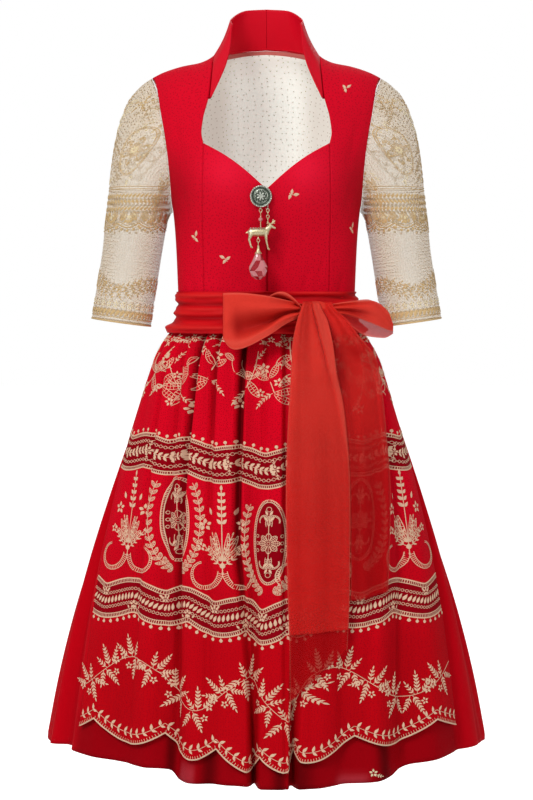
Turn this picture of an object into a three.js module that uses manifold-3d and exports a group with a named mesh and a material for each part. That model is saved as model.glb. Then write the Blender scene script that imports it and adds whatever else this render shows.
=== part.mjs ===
// A short-bodied folk dress with stand collar, lace sleeves, gathered skirt, scalloped apron,
// organza sash tied in a bow, and a button with a hanging stag and crystal drop.
// Millimetres. +Z up, -Y front, +X the wearer's left. Origin at the middle of the shoulder line.
import * as THREE from 'three';
import { mergeVertices } from 'three/addons/utils/BufferGeometryUtils.js';
import Module from 'manifold-3d';

// ---- Driving dimensions -------------------------------------------------------------------
const WAIST_Z = -404;
const HEM_Z = -1075;
const SEAM = 0.5;              // gap between two pieces that are sewn together
const BODICE_WALL = 1.6;
const LINING_WALL = 1.0;
const LINING_GAP = 0.9;
const COLLAR_WALL = 2.2;
const COLLAR_GAP = 3;
const SLEEVE_WALL = 1.0;
const SKIRT_WALL = 1.5;
const APRON_WALL = 1.2;
const SASH_WALL = 1.6;
const BOW_WALL = 1.2;
const APRON_OUT = { waist: 3.5, hem: 8 };      // how far the apron lies outside the skirt
const ROUND = 2.2;             // exponent of the body's cross-sections, 2 is an ellipse
const SHOULDER_SEAM_Y = 5;
const BUST = { x: 72, z: -188, wide: 44, tall: 50, out: 9 };
const ROUNDING = { front: 62, back: 50 };      // height over which the shoulders round off
const CUFF_Z = -410;

// ---- Tables -------------------------------------------------------------------------------
// Cross-sections of the bodice: half width, depth to the front and depth to the back.
const BODY = [
  { z: 60, half: 198, front: 52, back: 66 },
  { z: 20, half: 198, front: 60, back: 75 },
  { z: 0, half: 198, front: 64, back: 80 },
  { z: -24, half: 196, front: 74, back: 87 },
  { z: -50, half: 191, front: 86, back: 92 },
  { z: -88, half: 184, front: 100, back: 96 },
  { z: -118, half: 177, front: 110, back: 97 },
  { z: -152, half: 169, front: 118, back: 96 },
  { z: -190, half: 159, front: 122, back: 93 },
  { z: -234, half: 148.5, front: 117, back: 89 },
  { z: -272, half: 145, front: 107, back: 85 },
  { z: -310, half: 143, front: 99, back: 82 },
  { z: -349, half: 141.5, front: 94, back: 81 },
  { z: -404, half: 139.5, front: 91, back: 82 },
];
// Cross-sections of the skirt.
const SKIRT = [
  { z: -404, half: 139.5, front: 91, back: 82 },
  { z: -415, half: 143.5, front: 94, back: 87 },
  { z: -426, half: 150, front: 99, back: 94 },
  { z: -438, half: 159, front: 105, back: 103 },
  { z: -464, half: 174, front: 117, back: 119 },
  { z: -502, half: 188, front: 131, back: 136 },
  { z: -541, half: 201, front: 146, back: 152 },
  { z: -598, half: 221, front: 166, back: 172 },
  { z: -694, half: 254, front: 196, back: 204 },
  { z: -790, half: 286, front: 223, back: 233 },
  { z: -886, half: 314, front: 248, back: 258 },
  { z: -982, half: 337, front: 270, back: 278 },
  { z: -1075, half: 355, front: 289, back: 292 },
];
// Height of the shoulder line at a distance from the middle. Inside the neck it is the neck's own slope.
const SHOULDER = [
  { x: 0, z: 85 },
  { x: 30, z: 62 },
  { x: 60, z: 38 },
  { x: 75, z: 24 },
  { x: 83, z: 13.5 },
  { x: 94, z: 6 },
  { x: 107, z: 1 },
  { x: 133, z: -4 },
  { x: 163, z: -13.5 },
  { x: 182, z: -23 },
  { x: 200, z: -34 },
];
// Bodice edges, from the waist (v 0) up to the shoulder (v 1).
const PRINCESS_EDGE = [
  { v: 0, x: 97, z: -403.5 },
  { v: 0.4, x: 99, z: -240 },
  { v: 0.64, x: 97, z: -134 },
];
const NECK_EDGE = [
  { v: 0.64, x: 97, z: -134 },
  { v: 0.68, x: 100, z: -119 },
  { v: 0.74, x: 97, z: -96 },
  { v: 0.82, x: 88, z: -64 },
  { v: 0.9, x: 85, z: -30 },
  { v: 1, x: 83, z: 13 },
];
const COLLAR_END = 0.82;       // v of NECK_EDGE where the collar runs out
const ARM_EDGE = [
  { v: 0.43, x: 148.4, z: -234 },
  { v: 0.48, x: 150, z: -222 },
  { v: 0.56, x: 151, z: -193 },
  { v: 0.67, x: 154, z: -152 },
  { v: 0.76, x: 158.5, z: -118 },
  { v: 0.84, x: 164, z: -88 },
  { v: 0.93, x: 171, z: -50 },
  { v: 1, x: 181, z: -22.5 },
];
const BACK_NECK = [
  { x: 0, z: 30 },
  { x: 30, z: 28 },
  { x: 60, z: 22 },
  { x: 75, z: 16.5 },
  { x: 83, z: 13 },
];
const CENTRE_NECK_Z = -205;    // bottom of the neckline at the centre front
const NECK_BOW = 6;            // how far the sweetheart neckline bows up
const NECK_SIDE = 83;          // where the neckline meets the shoulder seam
// Top and front edge of the collar, from the centre back (u 0) round to its end on the neckline (u 1).
const COLLAR_TOP = [
  { u: 0, x: 0, y: 62, z: 95 },
  { u: 0.18, x: 32, y: 54, z: 92 },
  { u: 0.36, x: 52, y: 30, z: 79 },
  { u: 0.5, x: 58, y: 0, z: 67 },
  { u: 0.6, x: 55, y: -27, z: 58 },
  { u: 0.7, x: 56, y: -44, z: 30 },
  { u: 0.8, x: 62, y: -62, z: -2 },
  { u: 0.9, x: 73, y: -78, z: -32 },
  { u: 1, x: 87, y: -90, z: -63 },
];
const COLLAR_BACK_U = 0.46;    // u of the collar at the shoulder seam
// Sleeve axis and cross-section below the underarm.
const SLEEVE = [
  { z: -262, x: 209, y: -4, across: 48, deep: 56 },
  { z: -310, x: 215.5, y: -6, across: 46.5, deep: 53 },
  { z: -360, x: 223.5, y: -10, across: 46.5, deep: 51 },
  { z: CUFF_Z, x: 231, y: -14, across: 47, deep: 50 },
];
const SLEEVE_TILT = 0.14;      // a sleeve ring's outer side stands this much higher per mm
// Grain lines of the skirt and apron: s counts scallops, and each line runs from one angle at the
// waist to another at the hem. Angles are in degrees from the centre front, towards +X.
const GRAIN = [
  { s: -0.25, waist: -95, hem: -53.4 },
  { s: 0, waist: -87.7, hem: -47.7 },
  { s: 1, waist: -58.4, hem: -25.9 },
  { s: 2, waist: -29, hem: -12 },
  { s: 2.5, waist: -14.4, hem: -4.6 },
  { s: 3, waist: 0.3, hem: -1.6 },
  { s: 3.5, waist: 15, hem: 4.6 },
  { s: 4.3, waist: 38.4, hem: 7.8 },
  { s: 4.5, waist: 44.3, hem: 10.8 },
  { s: 5, waist: 59, hem: 21.8 },
  { s: 5.5, waist: 73.5, hem: 34 },
  { s: 6, waist: 88, hem: 46.8 },
  { s: 6.3, waist: 97, hem: 56.9 },
  { s: 17.8, waist: 265, hem: 306.6 },
];
const APRON_LEFT = -0.25;
const APRON_RIGHT = 6.3;
const ROUND_S = 18.05;         // scallop widths all round the skirt
const GRAIN_CURVE = 1.8;
// Folds of the skirt and apron: where each trough lies, its half width, and its depth at waist and hem.
const FOLDS = [
  { s: 0.35, wide: 0.42, waist: 1, hem: 9 },
  { s: 1.12, wide: 0.4, waist: 4, hem: 19 },
  { s: 1.9, wide: 0.3, waist: 1, hem: 6 },
  { s: 2.75, wide: 0.3, waist: 5, hem: 23 },
  { s: 3.92, wide: 0.42, waist: 3, hem: 24 },
  { s: 4.92, wide: 0.36, waist: 2, hem: 12 },
  { s: 5.62, wide: 0.4, waist: 3, hem: 20 },
  { s: 6.35, wide: 0.36, waist: 1, hem: 9 },
  { s: 7.2, wide: 0.48, waist: 3, hem: 14 },
  { s: 8.15, wide: 0.42, waist: 2, hem: 10 },
  { s: 9.25, wide: 0.5, waist: 3, hem: 24 },
  { s: 10.3, wide: 0.44, waist: 2, hem: 17 },
  { s: 11.3, wide: 0.5, waist: 3, hem: 23 },
  { s: 12.45, wide: 0.46, waist: 2, hem: 16 },
  { s: 13.4, wide: 0.5, waist: 3, hem: 24 },
  { s: 14.5, wide: 0.44, waist: 2, hem: 18 },
  { s: 15.4, wide: 0.5, waist: 3, hem: 22 },
  { s: 16.45, wide: 0.44, waist: 2, hem: 8 },
  { s: 17.25, wide: 0.4, waist: 2, hem: 19 },
];
const GORE_SEAM = 0.006;       // half the gap at a seam of the skirt, in scallop widths
const GATHERS = 44;            // small gathers round the waist
const GATHER_DEPTH = 1.7;
const GATHER_LENGTH = 0.13;    // share of the skirt's length in which they fade
// Sash outline: how far its outside stands off the body at each height.
const SASH = [
  { z: -426, out: 20, front: 20 },
  { z: -419, out: 21, front: 21 },
  { z: -409, out: 13, front: 15 },
  { z: -399, out: 6.5, front: 9 },
  { z: -387, out: 5.5, front: 7 },
  { z: -374, out: 4, front: 5 },
  { z: -361, out: 3.4, front: 4 },
];
const KNOT = { x: 75, y: -113, z: -389, across: 24, deep: 13, tall: 13.5, pleat: 0.05, pleats: 5 };
// Bow loops: middle line of the ribbon, and the height of its upper and lower edge.
const LOOP_RIGHT = [
  { u: 0, x: 50, y: -121, top: -380, bottom: -399 },
  { u: 0.15, x: 32, y: -138, top: -375, bottom: -409 },
  { u: 0.32, x: -4, y: -152, top: -367, bottom: -432 },
  { u: 0.45, x: -46, y: -153, top: -363, bottom: -449 },
  { u: 0.52, x: -66, y: -140, top: -364, bottom: -447 },
  { u: 0.6, x: -62, y: -128, top: -366, bottom: -440 },
  { u: 0.72, x: -24, y: -123, top: -370, bottom: -430 },
  { u: 0.88, x: 24, y: -120, top: -373, bottom: -414 },
  { u: 1, x: 50, y: -108, top: -380, bottom: -400 },
];
const LOOP_LEFT = [
  { u: 0, x: 100.5, y: -108, top: -382, bottom: -399 },
  { u: 0.16, x: 124, y: -103, top: -377, bottom: -410 },
  { u: 0.34, x: 156, y: -88, top: -373, bottom: -430 },
  { u: 0.46, x: 183, y: -76, top: -389, bottom: -433 },
  { u: 0.54, x: 197, y: -77, top: -412, bottom: -426 },
  { u: 0.62, x: 187, y: -89, top: -390, bottom: -431 },
  { u: 0.76, x: 160, y: -108, top: -375, bottom: -424 },
  { u: 0.9, x: 122, y: -119, top: -378, bottom: -408 },
  { u: 1, x: 100.5, y: -118, top: -382, bottom: -398 },
];
// Bow tails: the height, the place of both edges, and how far in front the knot holds the ribbon.
const TAIL_LONG = [
  { z: -403.5, left: 47, right: 92, held: 122 },
  { z: -441, left: 39.5, right: 101, held: 132 },
  { z: -486, left: 37, right: 107, held: 128 },
  { z: -526, left: 34.5, right: 116, held: 100 },
  { z: -569, left: 32, right: 121, held: 60 },
  { z: -660, left: 29, right: 126, held: 0 },
  { z: -800, left: 31, right: 124, held: 0 },
  { z: -900, left: 34, right: 119, held: 0 },
  { z: -960, left: 34, right: 117, held: 0 },
];
const TAIL_SHORT = [
  { z: -403.5, left: 93.5, right: 123, held: 128 },
  { z: -425, left: 102.5, right: 139, held: 124 },
  { z: -441, left: 104, right: 153, held: 114 },
  { z: -459, left: 106, right: 167, held: 96 },
  { z: -482, left: 109, right: 176, held: 60 },
  { z: -498, left: 112, right: 179.5, held: 0 },
  { z: -569, left: 123, right: 185, held: 0 },
  { z: -660, left: 128, right: 190, held: 0 },
  { z: -760, left: 127, right: 186, held: 0 },
  { z: -820, left: 125, right: 182, held: 0 },
];
const TAIL_SLANT = 70;         // the long tail's end is cut this much higher on its right edge
const TAIL_OUT = 11;
const TAIL_WAVE = { deep: 3.5, count: 1.5 };
const SOFT_MAX = 12;           // how sharply a tail changes from hanging free to lying on the apron

// Button and pendant. The pendant hangs in the plane y = HANG_Y.
const BUTTON = { x: -8.5, y: -122.6, z: -216.5 };
const BUTTON_PROFILE = [
  { radius: 0, height: 0 },
  { radius: 10, height: 0 },
  { radius: 10, height: 1.4 },
  { radius: 16.5, height: 1.4 },
  { radius: 16.8, height: 3.2 },
  { radius: 15.4, height: 4.6 },
  { radius: 13, height: 3.6 },
  { radius: 11, height: 4.2 },
  { radius: 5, height: 5.4 },
  { radius: 0, height: 5.8 },
];
const HANG_Y = -125.8;
const LINK = { radius: 2.1, wire: 0.55, stretch: 1.4 };
const LINK_STEP = 4.7;
const STAG_HANG_X = -9;
const FRONT_HANG_X = 2;
const EYE_Z = -234.6;
const FIRST_LINK_Z = -237.9;   // its upper end passes through the button's eye: the stag's hinge
const STAG = { x: -9, z: -275 };
const STAG_BODY = [
  { from: [-14, 0, 4], to: [7, 0, 4.5], start: 6.4, end: 6.6 },
  { from: [8, 0, 6], to: [14.5, 0, 13], start: 4.8, end: 3.2 },
  { from: [14.5, 0, 14], to: [21.5, 0, 10.5], start: 3.2, end: 1.9 },
  { from: [-16, 0, 6], to: [-22, 0, 3], start: 2.2, end: 1.1 },
  { from: [11, -4.2, 19.9], to: [11, 4.2, 19.9], start: 1.1, end: 1.1 },
];
const STAG_LEGS_AND_ANTLERS = [
  { from: [7.5, 2.6, 2], to: [9, 2.9, -10], start: 2.9, end: 1.6 },
  { from: [9, 2.9, -10], to: [11.5, 2.9, -22], start: 1.6, end: 1.3 },
  { from: [-14, 2.6, 2], to: [-17.5, 2.9, -7], start: 3.8, end: 1.8 },
  { from: [-17.5, 2.9, -7], to: [-14.5, 2.9, -19], start: 1.8, end: 1.3 },
  { from: [14, 1.4, 15.5], to: [10.5, 4.6, 20], start: 1.1, end: 0.9 },
  { from: [14, 1.4, 15.5], to: [20.5, 4.4, 21], start: 1.1, end: 0.8 },
  { from: [13.2, 2.5, 17], to: [9.5, 1.2, 17.8], start: 0.9, end: 0.8 },
  { from: [17, 2.8, 18], to: [21.5, 5, 17.5], start: 0.9, end: 0.7 },
];
const BEAD = { radius: 3.3, z: -251.5 };
const DROP_HANG_X = -12.5;
const BELLY_LOOP_Z = -279.8;
const DROP_LINK_Z = -283.3;    // its upper end passes through the belly loop: the drop's hinge
const CAP_TOP_Z = -290.5;
const CAP_PROFILE = [
  { radius: 0, down: 0 },
  { radius: 1.3, down: 0.6 },
  { radius: 2.3, down: 6 },
  { radius: 4.6, down: 12.5 },
  { radius: 0, down: 12.5 },
].reverse();
const CRYSTAL_PROFILE = [
  { radius: 0, down: 12.9 },
  { radius: 4.4, down: 12.9 },
  { radius: 10.6, down: 25 },
  { radius: 14.4, down: 35 },
  { radius: 14.4, down: 40 },
  { radius: 9.5, down: 48.5 },
  { radius: 3.5, down: 52.5 },
  { radius: 0, down: 52.5 },
].reverse();
const CRYSTAL_FLATNESS = 0.62;

// ---- Small mathematics --------------------------------------------------------------------
const rad = (degrees) => degrees * Math.PI / 180;
const mix = (a, b, t) => a + (b - a) * t;
const clamp = (x, low = 0, high = 1) => Math.min(high, Math.max(low, x));
const smooth = (x) => {
  const t = clamp(x);
  return t * t * (3 - 2 * t);
};

// Monotone cubic through one column of a table, by its key column.
function curve(table, key, column, at) {
  const rows = table[0][key] < table[table.length - 1][key] ? table : [...table].reverse();
  const last = rows.length - 2;
  let i = rows.findIndex((row, n) => n > 0 && at <= row[key]) - 1;
  if (i < 0) i = at <= rows[0][key] ? 0 : last;
  const slope = (n) => (rows[n + 1][column] - rows[n][column]) / (rows[n + 1][key] - rows[n][key]);
  const tangent = (n) => {
    if (n === 0) return slope(0);
    if (n > last) return slope(last);
    const [before, after] = [slope(n - 1), slope(n)];
    return before * after <= 0 ? 0 : 2 * before * after / (before + after);
  };
  const [low, high] = [rows[i], rows[i + 1]];
  const span = high[key] - low[key];
  const t = clamp((at - low[key]) / span);
  const [t2, t3] = [t * t, t * t * t];
  return (2 * t3 - 3 * t2 + 1) * low[column] + (t3 - 2 * t2 + t) * span * tangent(i)
    + (3 * t2 - 2 * t3) * high[column] + (t3 - t2) * span * tangent(i + 1);
}

// Power of a signed number that keeps its sign.
const signedPower = (x, power) => Math.sign(x) * Math.abs(x) ** power;

// ---- The body's surface -------------------------------------------------------------------
// Share of the full depth that is left near the shoulder line, 0 on the line itself.
function shoulderRounding(x, z, radius) {
  const t = clamp((curve(SHOULDER, 'x', 'z', Math.abs(x)) - z) / radius);
  return Math.sqrt(1 - (1 - t) ** 2);
}

// A point on the bodice's form at an angle from the centre front and a height, moved out by out.
function bodyPoint(angle, z, out = 0) {
  const half = curve(BODY, 'z', 'half', z) + out;
  const x = half * signedPower(Math.sin(angle), 2 / ROUND);
  const inFront = Math.cos(angle) > 0;
  const depth = curve(BODY, 'z', inFront ? 'front' : 'back', z) + out;
  let y = -depth * signedPower(Math.cos(angle), 2 / ROUND);
  const rounding = shoulderRounding(x, z - out, inFront ? ROUNDING.front : ROUNDING.back);
  const seam = SHOULDER_SEAM_Y + (inFront ? -SEAM : SEAM) / 2;
  y = seam + (y - seam) * rounding;
  if (inFront) {
    const across = (Math.abs(x) - BUST.x) / BUST.wide;
    const down = (z - BUST.z) / BUST.tall;
    y -= BUST.out * Math.exp(-across * across - down * down);
  }
  return new THREE.Vector3(x, y, z);
}

// Angle of the form's point that is x from the middle at a height.
function angleAt(x, z, back = false) {
  const share = clamp(Math.abs(x) / curve(BODY, 'z', 'half', z), 0, 1);
  const front = Math.sign(x) * Math.asin(share ** (ROUND / 2));
  return back ? Math.PI - front : front;
}

// Outward normal of a surface function (a, b) => point whose a runs with the angle and b upwards.
function normalOf(surface, a, b, da, db) {
  const along = surface(a + da, b).sub(surface(a - da, b));
  const up = surface(a, b + db).sub(surface(a, b - db));
  return along.cross(up).normalize();
}

const RIDGE = new THREE.Vector3(0, 0, 1);
function bodyNormal(angle, z) {
  const p = bodyPoint(angle, z);
  const rounding = shoulderRounding(p.x, z, ROUNDING.back);
  const n = normalOf((a, b) => bodyPoint(a, b), angle, z, 0.02, 2);
  return n.lerp(RIDGE, 1 - smooth(rounding / 0.35)).normalize();
}

// ---- Cloth walls --------------------------------------------------------------------------
// A closed wall between a grid of outer points and the same points moved in by its thickness.
// points[i][j]: i runs with the angle, j upwards; normals match. A closed wall joins its last i to i 0.
function wall(points, normals, thickness, closed = false) {
  const columns = points.length;
  const rows = points[0].length;
  const positions = [];
  for (const shift of [0, -thickness]) {
    for (let i = 0; i < columns; i++) {
      for (let j = 0; j < rows; j++) {
        positions.push(...points[i][j].clone().addScaledVector(normals[i][j], shift).toArray());
      }
    }
  }
  const outer = (i, j) => (i % columns) * rows + j;
  const inner = (i, j) => outer(i, j) + columns * rows;
  const index = [];
  const quad = (a, b, c, d) => index.push(a, b, c, a, c, d);
  const across = closed ? columns : columns - 1;
  for (let i = 0; i < across; i++) {
    for (let j = 0; j < rows - 1; j++) {
      quad(outer(i, j), outer(i + 1, j), outer(i + 1, j + 1), outer(i, j + 1));
      quad(inner(i, j), inner(i, j + 1), inner(i + 1, j + 1), inner(i + 1, j));
    }
    const top = rows - 1;
    quad(outer(i + 1, 0), outer(i, 0), inner(i, 0), inner(i + 1, 0));
    quad(outer(i, top), outer(i + 1, top), inner(i + 1, top), inner(i, top));
  }
  if (!closed) {
    const last = columns - 1;
    for (let j = 0; j < rows - 1; j++) {
      quad(outer(0, j), outer(0, j + 1), inner(0, j + 1), inner(0, j));
      quad(outer(last, j + 1), outer(last, j), inner(last, j), inner(last, j + 1));
    }
  }
  return new THREE.BufferGeometry()
    .setAttribute('position', new THREE.Float32BufferAttribute(positions, 3))
    .setIndex(index);
}

// Normals of a grid by its own neighbours, for sheets that follow no form.
function gridNormals(points, closed = false) {
  const last = points.length - 1;
  const step = (i, by) => {
    if (closed) return (i + by + points.length) % points.length;
    return clamp(i + by, 0, last);
  };
  return points.map((column, i) => column.map((_, j) => {
    const along = points[step(i, 1)][j].clone().sub(points[step(i, -1)][j]);
    const up = column[Math.min(j + 1, column.length - 1)].clone().sub(column[Math.max(j - 1, 0)]);
    return along.cross(up).normalize();
  }));
}

// A wall from a function (u, v) => point, u and v from 0 to 1.
function sheet(pointAt, columns, rows, thickness, closed = false) {
  const count = closed ? columns : columns + 1;
  const points = Array.from({ length: count }, (_, i) =>
    Array.from({ length: rows + 1 }, (_, j) => pointAt(i / columns, j / rows)));
  return wall(points, gridNormals(points, closed), thickness, closed);
}

// A wall on the bodice's form from a function (u, v) => { angle, z }.
function bodyWall(placeAt, columns, rowList, thickness, out = 0) {
  const places = Array.from({ length: columns + 1 }, (_, i) =>
    rowList.map((v) => placeAt(i / columns, v)));
  const points = places.map((column) => column.map(({ angle, z }) => bodyPoint(angle, z, out)));
  const normals = places.map((column) => column.map(({ angle, z }) => bodyNormal(angle, z)));
  return wall(points, normals, thickness);
}

const group = new THREE.Group();
function add(name, geometry, material) {
  geometry.computeVertexNormals();
  const mesh = new THREE.Mesh(geometry, material);
  mesh.name = name;
  group.add(mesh);
  return mesh;
}

// ---- Materials ----------------------------------------------------------------------------
const cloth = (color, roughness) => new THREE.MeshStandardMaterial({ color, roughness, metalness: 0 });
const metal = (color, roughness) => new THREE.MeshStandardMaterial({ color, roughness, metalness: 1 });
const JACQUARD = cloth(0xc8102e, 0.7);
const COLLAR_SILK = cloth(0xc20a28, 0.55);
const SKIRT_CLOTH = cloth(0xab0618, 0.6);
const APRON_CLOTH = cloth(0xc40822, 0.65);
const ORGANZA = cloth(0xc83228, 0.5);
const TULLE = cloth(0xe0d2b8, 0.8);
const COTTON = cloth(0xe5dfd3, 0.9);
const PEWTER = metal(0xb4b8b0, 0.35);
const GILT = metal(0xd8c48c, 0.3);
const CRYSTAL = new THREE.MeshStandardMaterial({ color: 0xe88c94, roughness: 0.05, metalness: 0 });

// ---- Bodice -------------------------------------------------------------------------------
const mirrored = (side, places) => (u, v) => {
  const place = places(side > 0 ? u : 1 - u, v);
  return { angle: side * place.angle, z: place.z };
};

// Centre front: from the front opening to the princess seam, up to the curved neckline.
function centreFront(u, v) {
  const seamV = v * 0.64;
  const seam = {
    x: curve(PRINCESS_EDGE, 'v', 'x', seamV) - SEAM / 2,
    z: curve(PRINCESS_EDGE, 'v', 'z', seamV),
  };
  const openingZ = mix(WAIST_Z + 0.5, CENTRE_NECK_Z, v);
  const z = mix(openingZ, seam.z, u) + NECK_BOW * Math.sin(Math.PI * u) * v ** 3;
  return { angle: angleAt(mix(SEAM / 2, seam.x, u), z), z };
}

const SEAM_ANGLE = SEAM / 2 / BODY[BODY.length - 1].half;

// The armhole side of a panel at v: the side seam below, the armhole above.
function armSide(v, back = false) {
  const under = ARM_EDGE[0];
  if (v <= under.v) return { angle: Math.PI / 2, z: mix(WAIST_Z + 0.5, under.z, v / under.v) };
  const z = curve(ARM_EDGE, 'v', 'z', v);
  return { angle: angleAt(curve(ARM_EDGE, 'v', 'x', v), z, back), z };
}

// Side front: from the princess seam and neckline to the side seam and armhole, up to the shoulder.
function sideFront(u, v) {
  const table = v <= PRINCESS_EDGE[2].v ? PRINCESS_EDGE : NECK_EDGE;
  const inner = { x: curve(table, 'v', 'x', v) + SEAM / 2, z: curve(table, 'v', 'z', v) };
  const outer = armSide(v);
  const seamGap = v <= ARM_EDGE[0].v ? SEAM_ANGLE : 0;
  const angle = mix(angleAt(inner.x, inner.z), outer.angle - seamGap, u);
  let z = mix(inner.z, outer.z, u);
  const x = Math.abs(bodyPoint(angle, z).x);
  z += (curve(SHOULDER, 'x', 'z', x) - z) * v ** 12;
  return { angle, z };
}

// Back: from side seam to side seam, up to the shoulders and the back neck.
function backPanel(u, v) {
  const towards = 1 - Math.abs(2 * u - 1);
  const edge = armSide(v, true);
  const edgeAngle = edge.angle + (v <= ARM_EDGE[0].v ? SEAM_ANGLE : 0);
  const angle = mix(edgeAngle, Math.PI, towards);
  const x = Math.abs(bodyPoint(angle, edge.z).x);
  const topZ = x < NECK_SIDE ? curve(BACK_NECK, 'x', 'z', x) : curve(SHOULDER, 'x', 'z', x);
  const rise = (topZ - ARM_EDGE[ARM_EDGE.length - 1].z) * smooth((v - 0.3) / 0.7) * (towards > 0 ? 1 : 0);
  return { angle: u < 0.5 ? angle : 2 * Math.PI - angle, z: edge.z + rise };
}

const SEAM_ROWS = [0, 0.15, 0.3, 0.43, 0.54, 0.64];
const FRONT_ROWS = [...SEAM_ROWS, 0.7, 0.76, 0.82, 0.91, 0.97, 1];
const CENTRE_ROWS = SEAM_ROWS.map((v) => v / 0.64);
const BACK_COLUMNS = 20;
const BACK_ROWS = [0, 0.22, 0.43, 0.54, 0.65, 0.76, 0.86, 0.94, 0.975, 1];
for (const [side, label] of [[1, 'left'], [-1, 'right']]) {
  const centre = bodyWall(mirrored(side, centreFront), 7, CENTRE_ROWS, BODICE_WALL);
  const sidePiece = bodyWall(mirrored(side, sideFront), 8, FRONT_ROWS, BODICE_WALL);
  add('bodice_centre_front_' + label, centre, JACQUARD);
  add('bodice_side_front_' + label, sidePiece, JACQUARD);
}
add('bodice_back', bodyWall(backPanel, BACK_COLUMNS, BACK_ROWS, BODICE_WALL), JACQUARD);

// The lining hangs just inside the back panel: the panel's own points, moved in.
const liningRows = [0.01, ...BACK_ROWS.slice(1, -1)];
const liningPlaces = Array.from({ length: BACK_COLUMNS - 1 }, (_, i) =>
  liningRows.map((v) => backPanel((i + 1) / BACK_COLUMNS, v)));
const liningNormals = liningPlaces.map((column) => column.map(({ angle, z }) => bodyNormal(angle, z)));
const liningPoints = liningPlaces.map((column, i) => column.map(({ angle, z }, j) =>
  bodyPoint(angle, z).addScaledVector(liningNormals[i][j], -(BODICE_WALL + LINING_GAP))));
add('back_lining', wall(liningPoints, liningNormals, LINING_WALL), COTTON);

// ---- Collar -------------------------------------------------------------------------------
// Foot of the collar on the bodice's neck edge, u from the centre back to the end in front.
function collarFoot(u) {
  if (u <= COLLAR_BACK_U) {
    const x = NECK_SIDE * Math.sin(Math.PI / 2 * u / COLLAR_BACK_U);
    const z = curve(BACK_NECK, 'x', 'z', x);
    return bodyPoint(angleAt(x, z, true), z);
  }
  const v = mix(1, COLLAR_END, (u - COLLAR_BACK_U) / (1 - COLLAR_BACK_U));
  const z = curve(NECK_EDGE, 'v', 'z', v);
  return bodyPoint(angleAt(curve(NECK_EDGE, 'v', 'x', v), z), z);
}

function collarPoint(u, v) {
  const side = u < 0.5 ? 1 : -1;
  const along = Math.abs(1 - 2 * u);
  const foot = collarFoot(along);
  const top = new THREE.Vector3(...['x', 'y', 'z'].map((axis) => curve(COLLAR_TOP, 'u', axis, along)));
  const height = top.distanceTo(foot);
  const p = foot.clone().lerp(top, mix(COLLAR_GAP / Math.max(height, 6), 1, v));
  const hollow = 3 * Math.sin(Math.PI * v) * clamp(height / 50);
  p.x *= 1 - hollow / 80;
  p.x *= side;
  return p;
}
// The wearer's left end first, so that u runs backwards round the neck with the angle.
add('collar', sheet((u, v) => collarPoint(mix(0.01, 0.99, u), v), 36, 4, COLLAR_WALL), COLLAR_SILK);

// ---- Sleeves ------------------------------------------------------------------------------
// Armhole as a closed curve: t 0 at the underarm, round the front, 0.5 at the shoulder, and back.
function armhole(t) {
  const back = t > 0.5;
  const v = mix(ARM_EDGE[0].v, 1, smooth(1 - Math.abs(2 * t - 1)) * 0.4 + (1 - Math.abs(2 * t - 1)) * 0.6);
  const { angle, z } = armSide(v, back);
  return bodyPoint(angle, z);
}

function sleeveRing(t, z) {
  const turn = 2 * Math.PI * t;
  const column = (name) => curve(SLEEVE, 'z', name, z);
  const dx = -column('across') * Math.cos(turn);
  const dy = -column('deep') * Math.sin(turn);
  return new THREE.Vector3(column('x') + dx, column('y') + dy, z + SLEEVE_TILT * dx);
}

const CAP_SHARE = 0.5;
function sleevePoint(t, v) {
  if (v > CAP_SHARE) return sleeveRing(t, mix(SLEEVE[0].z, CUFF_Z, (v - CAP_SHARE) / (1 - CAP_SHARE)));
  const top = (1 - Math.cos(2 * Math.PI * t)) / 2;
  const leave = new THREE.Vector3(1, -0.12 * Math.sin(2 * Math.PI * t), mix(-0.9, -0.52, top)).normalize();
  const start = armhole(t).addScaledVector(leave, 1);
  const end = sleeveRing(t, SLEEVE[0].z);
  const reach = start.distanceTo(end);
  const down = new THREE.Vector3(SLEEVE_TILT, 0, -1).normalize();
  const bezier = new THREE.CubicBezierCurve3(
    start,
    start.clone().addScaledVector(leave, reach * 0.3),
    end.clone().addScaledVector(down, -reach * 0.42),
    end,
  );
  return bezier.getPoint(v / CAP_SHARE);
}

for (const [side, label] of [[1, 'left'], [-1, 'right']]) {
  // v runs upwards on the wall, from the cuff to the armhole.
  const place = (u, v) => {
    const p = sleevePoint(side > 0 ? 1 - u : u, 1 - v);
    p.x *= side;
    return p;
  };
  add('sleeve_' + label, sheet((u, v) => place((1 - u) % 1, v), 18, 11, SLEEVE_WALL, true), TULLE);
}

// ---- Skirt and apron ----------------------------------------------------------------------
// How far the cloth stands in at a grain line, v 0 at the waist and 1 at the hem.
function drape(s, v) {
  let inwards = 0;
  for (const fold of FOLDS) {
    for (const turn of [-ROUND_S, 0, ROUND_S]) {
      const away = Math.abs(s + turn - fold.s) / fold.wide;
      if (away < 1) inwards += mix(fold.waist, fold.hem, v ** 1.2) * (1 + Math.cos(Math.PI * away)) / 2;
    }
  }
  const gather = GATHER_DEPTH * Math.cos(2 * Math.PI * s * GATHERS / ROUND_S) * Math.exp(-v / GATHER_LENGTH);
  return gather - inwards;
}

function grainAngle(s, v) {
  const rounds = Math.floor((s - APRON_LEFT) / ROUND_S);
  const within = s - rounds * ROUND_S;
  const turn = 360 * rounds;
  const hem = curve(GRAIN, 's', 'hem', within);
  const waist = curve(GRAIN, 's', 'waist', within);
  return rad(hem + (waist - hem) * (1 - v) ** GRAIN_CURVE + turn);
}

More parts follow.
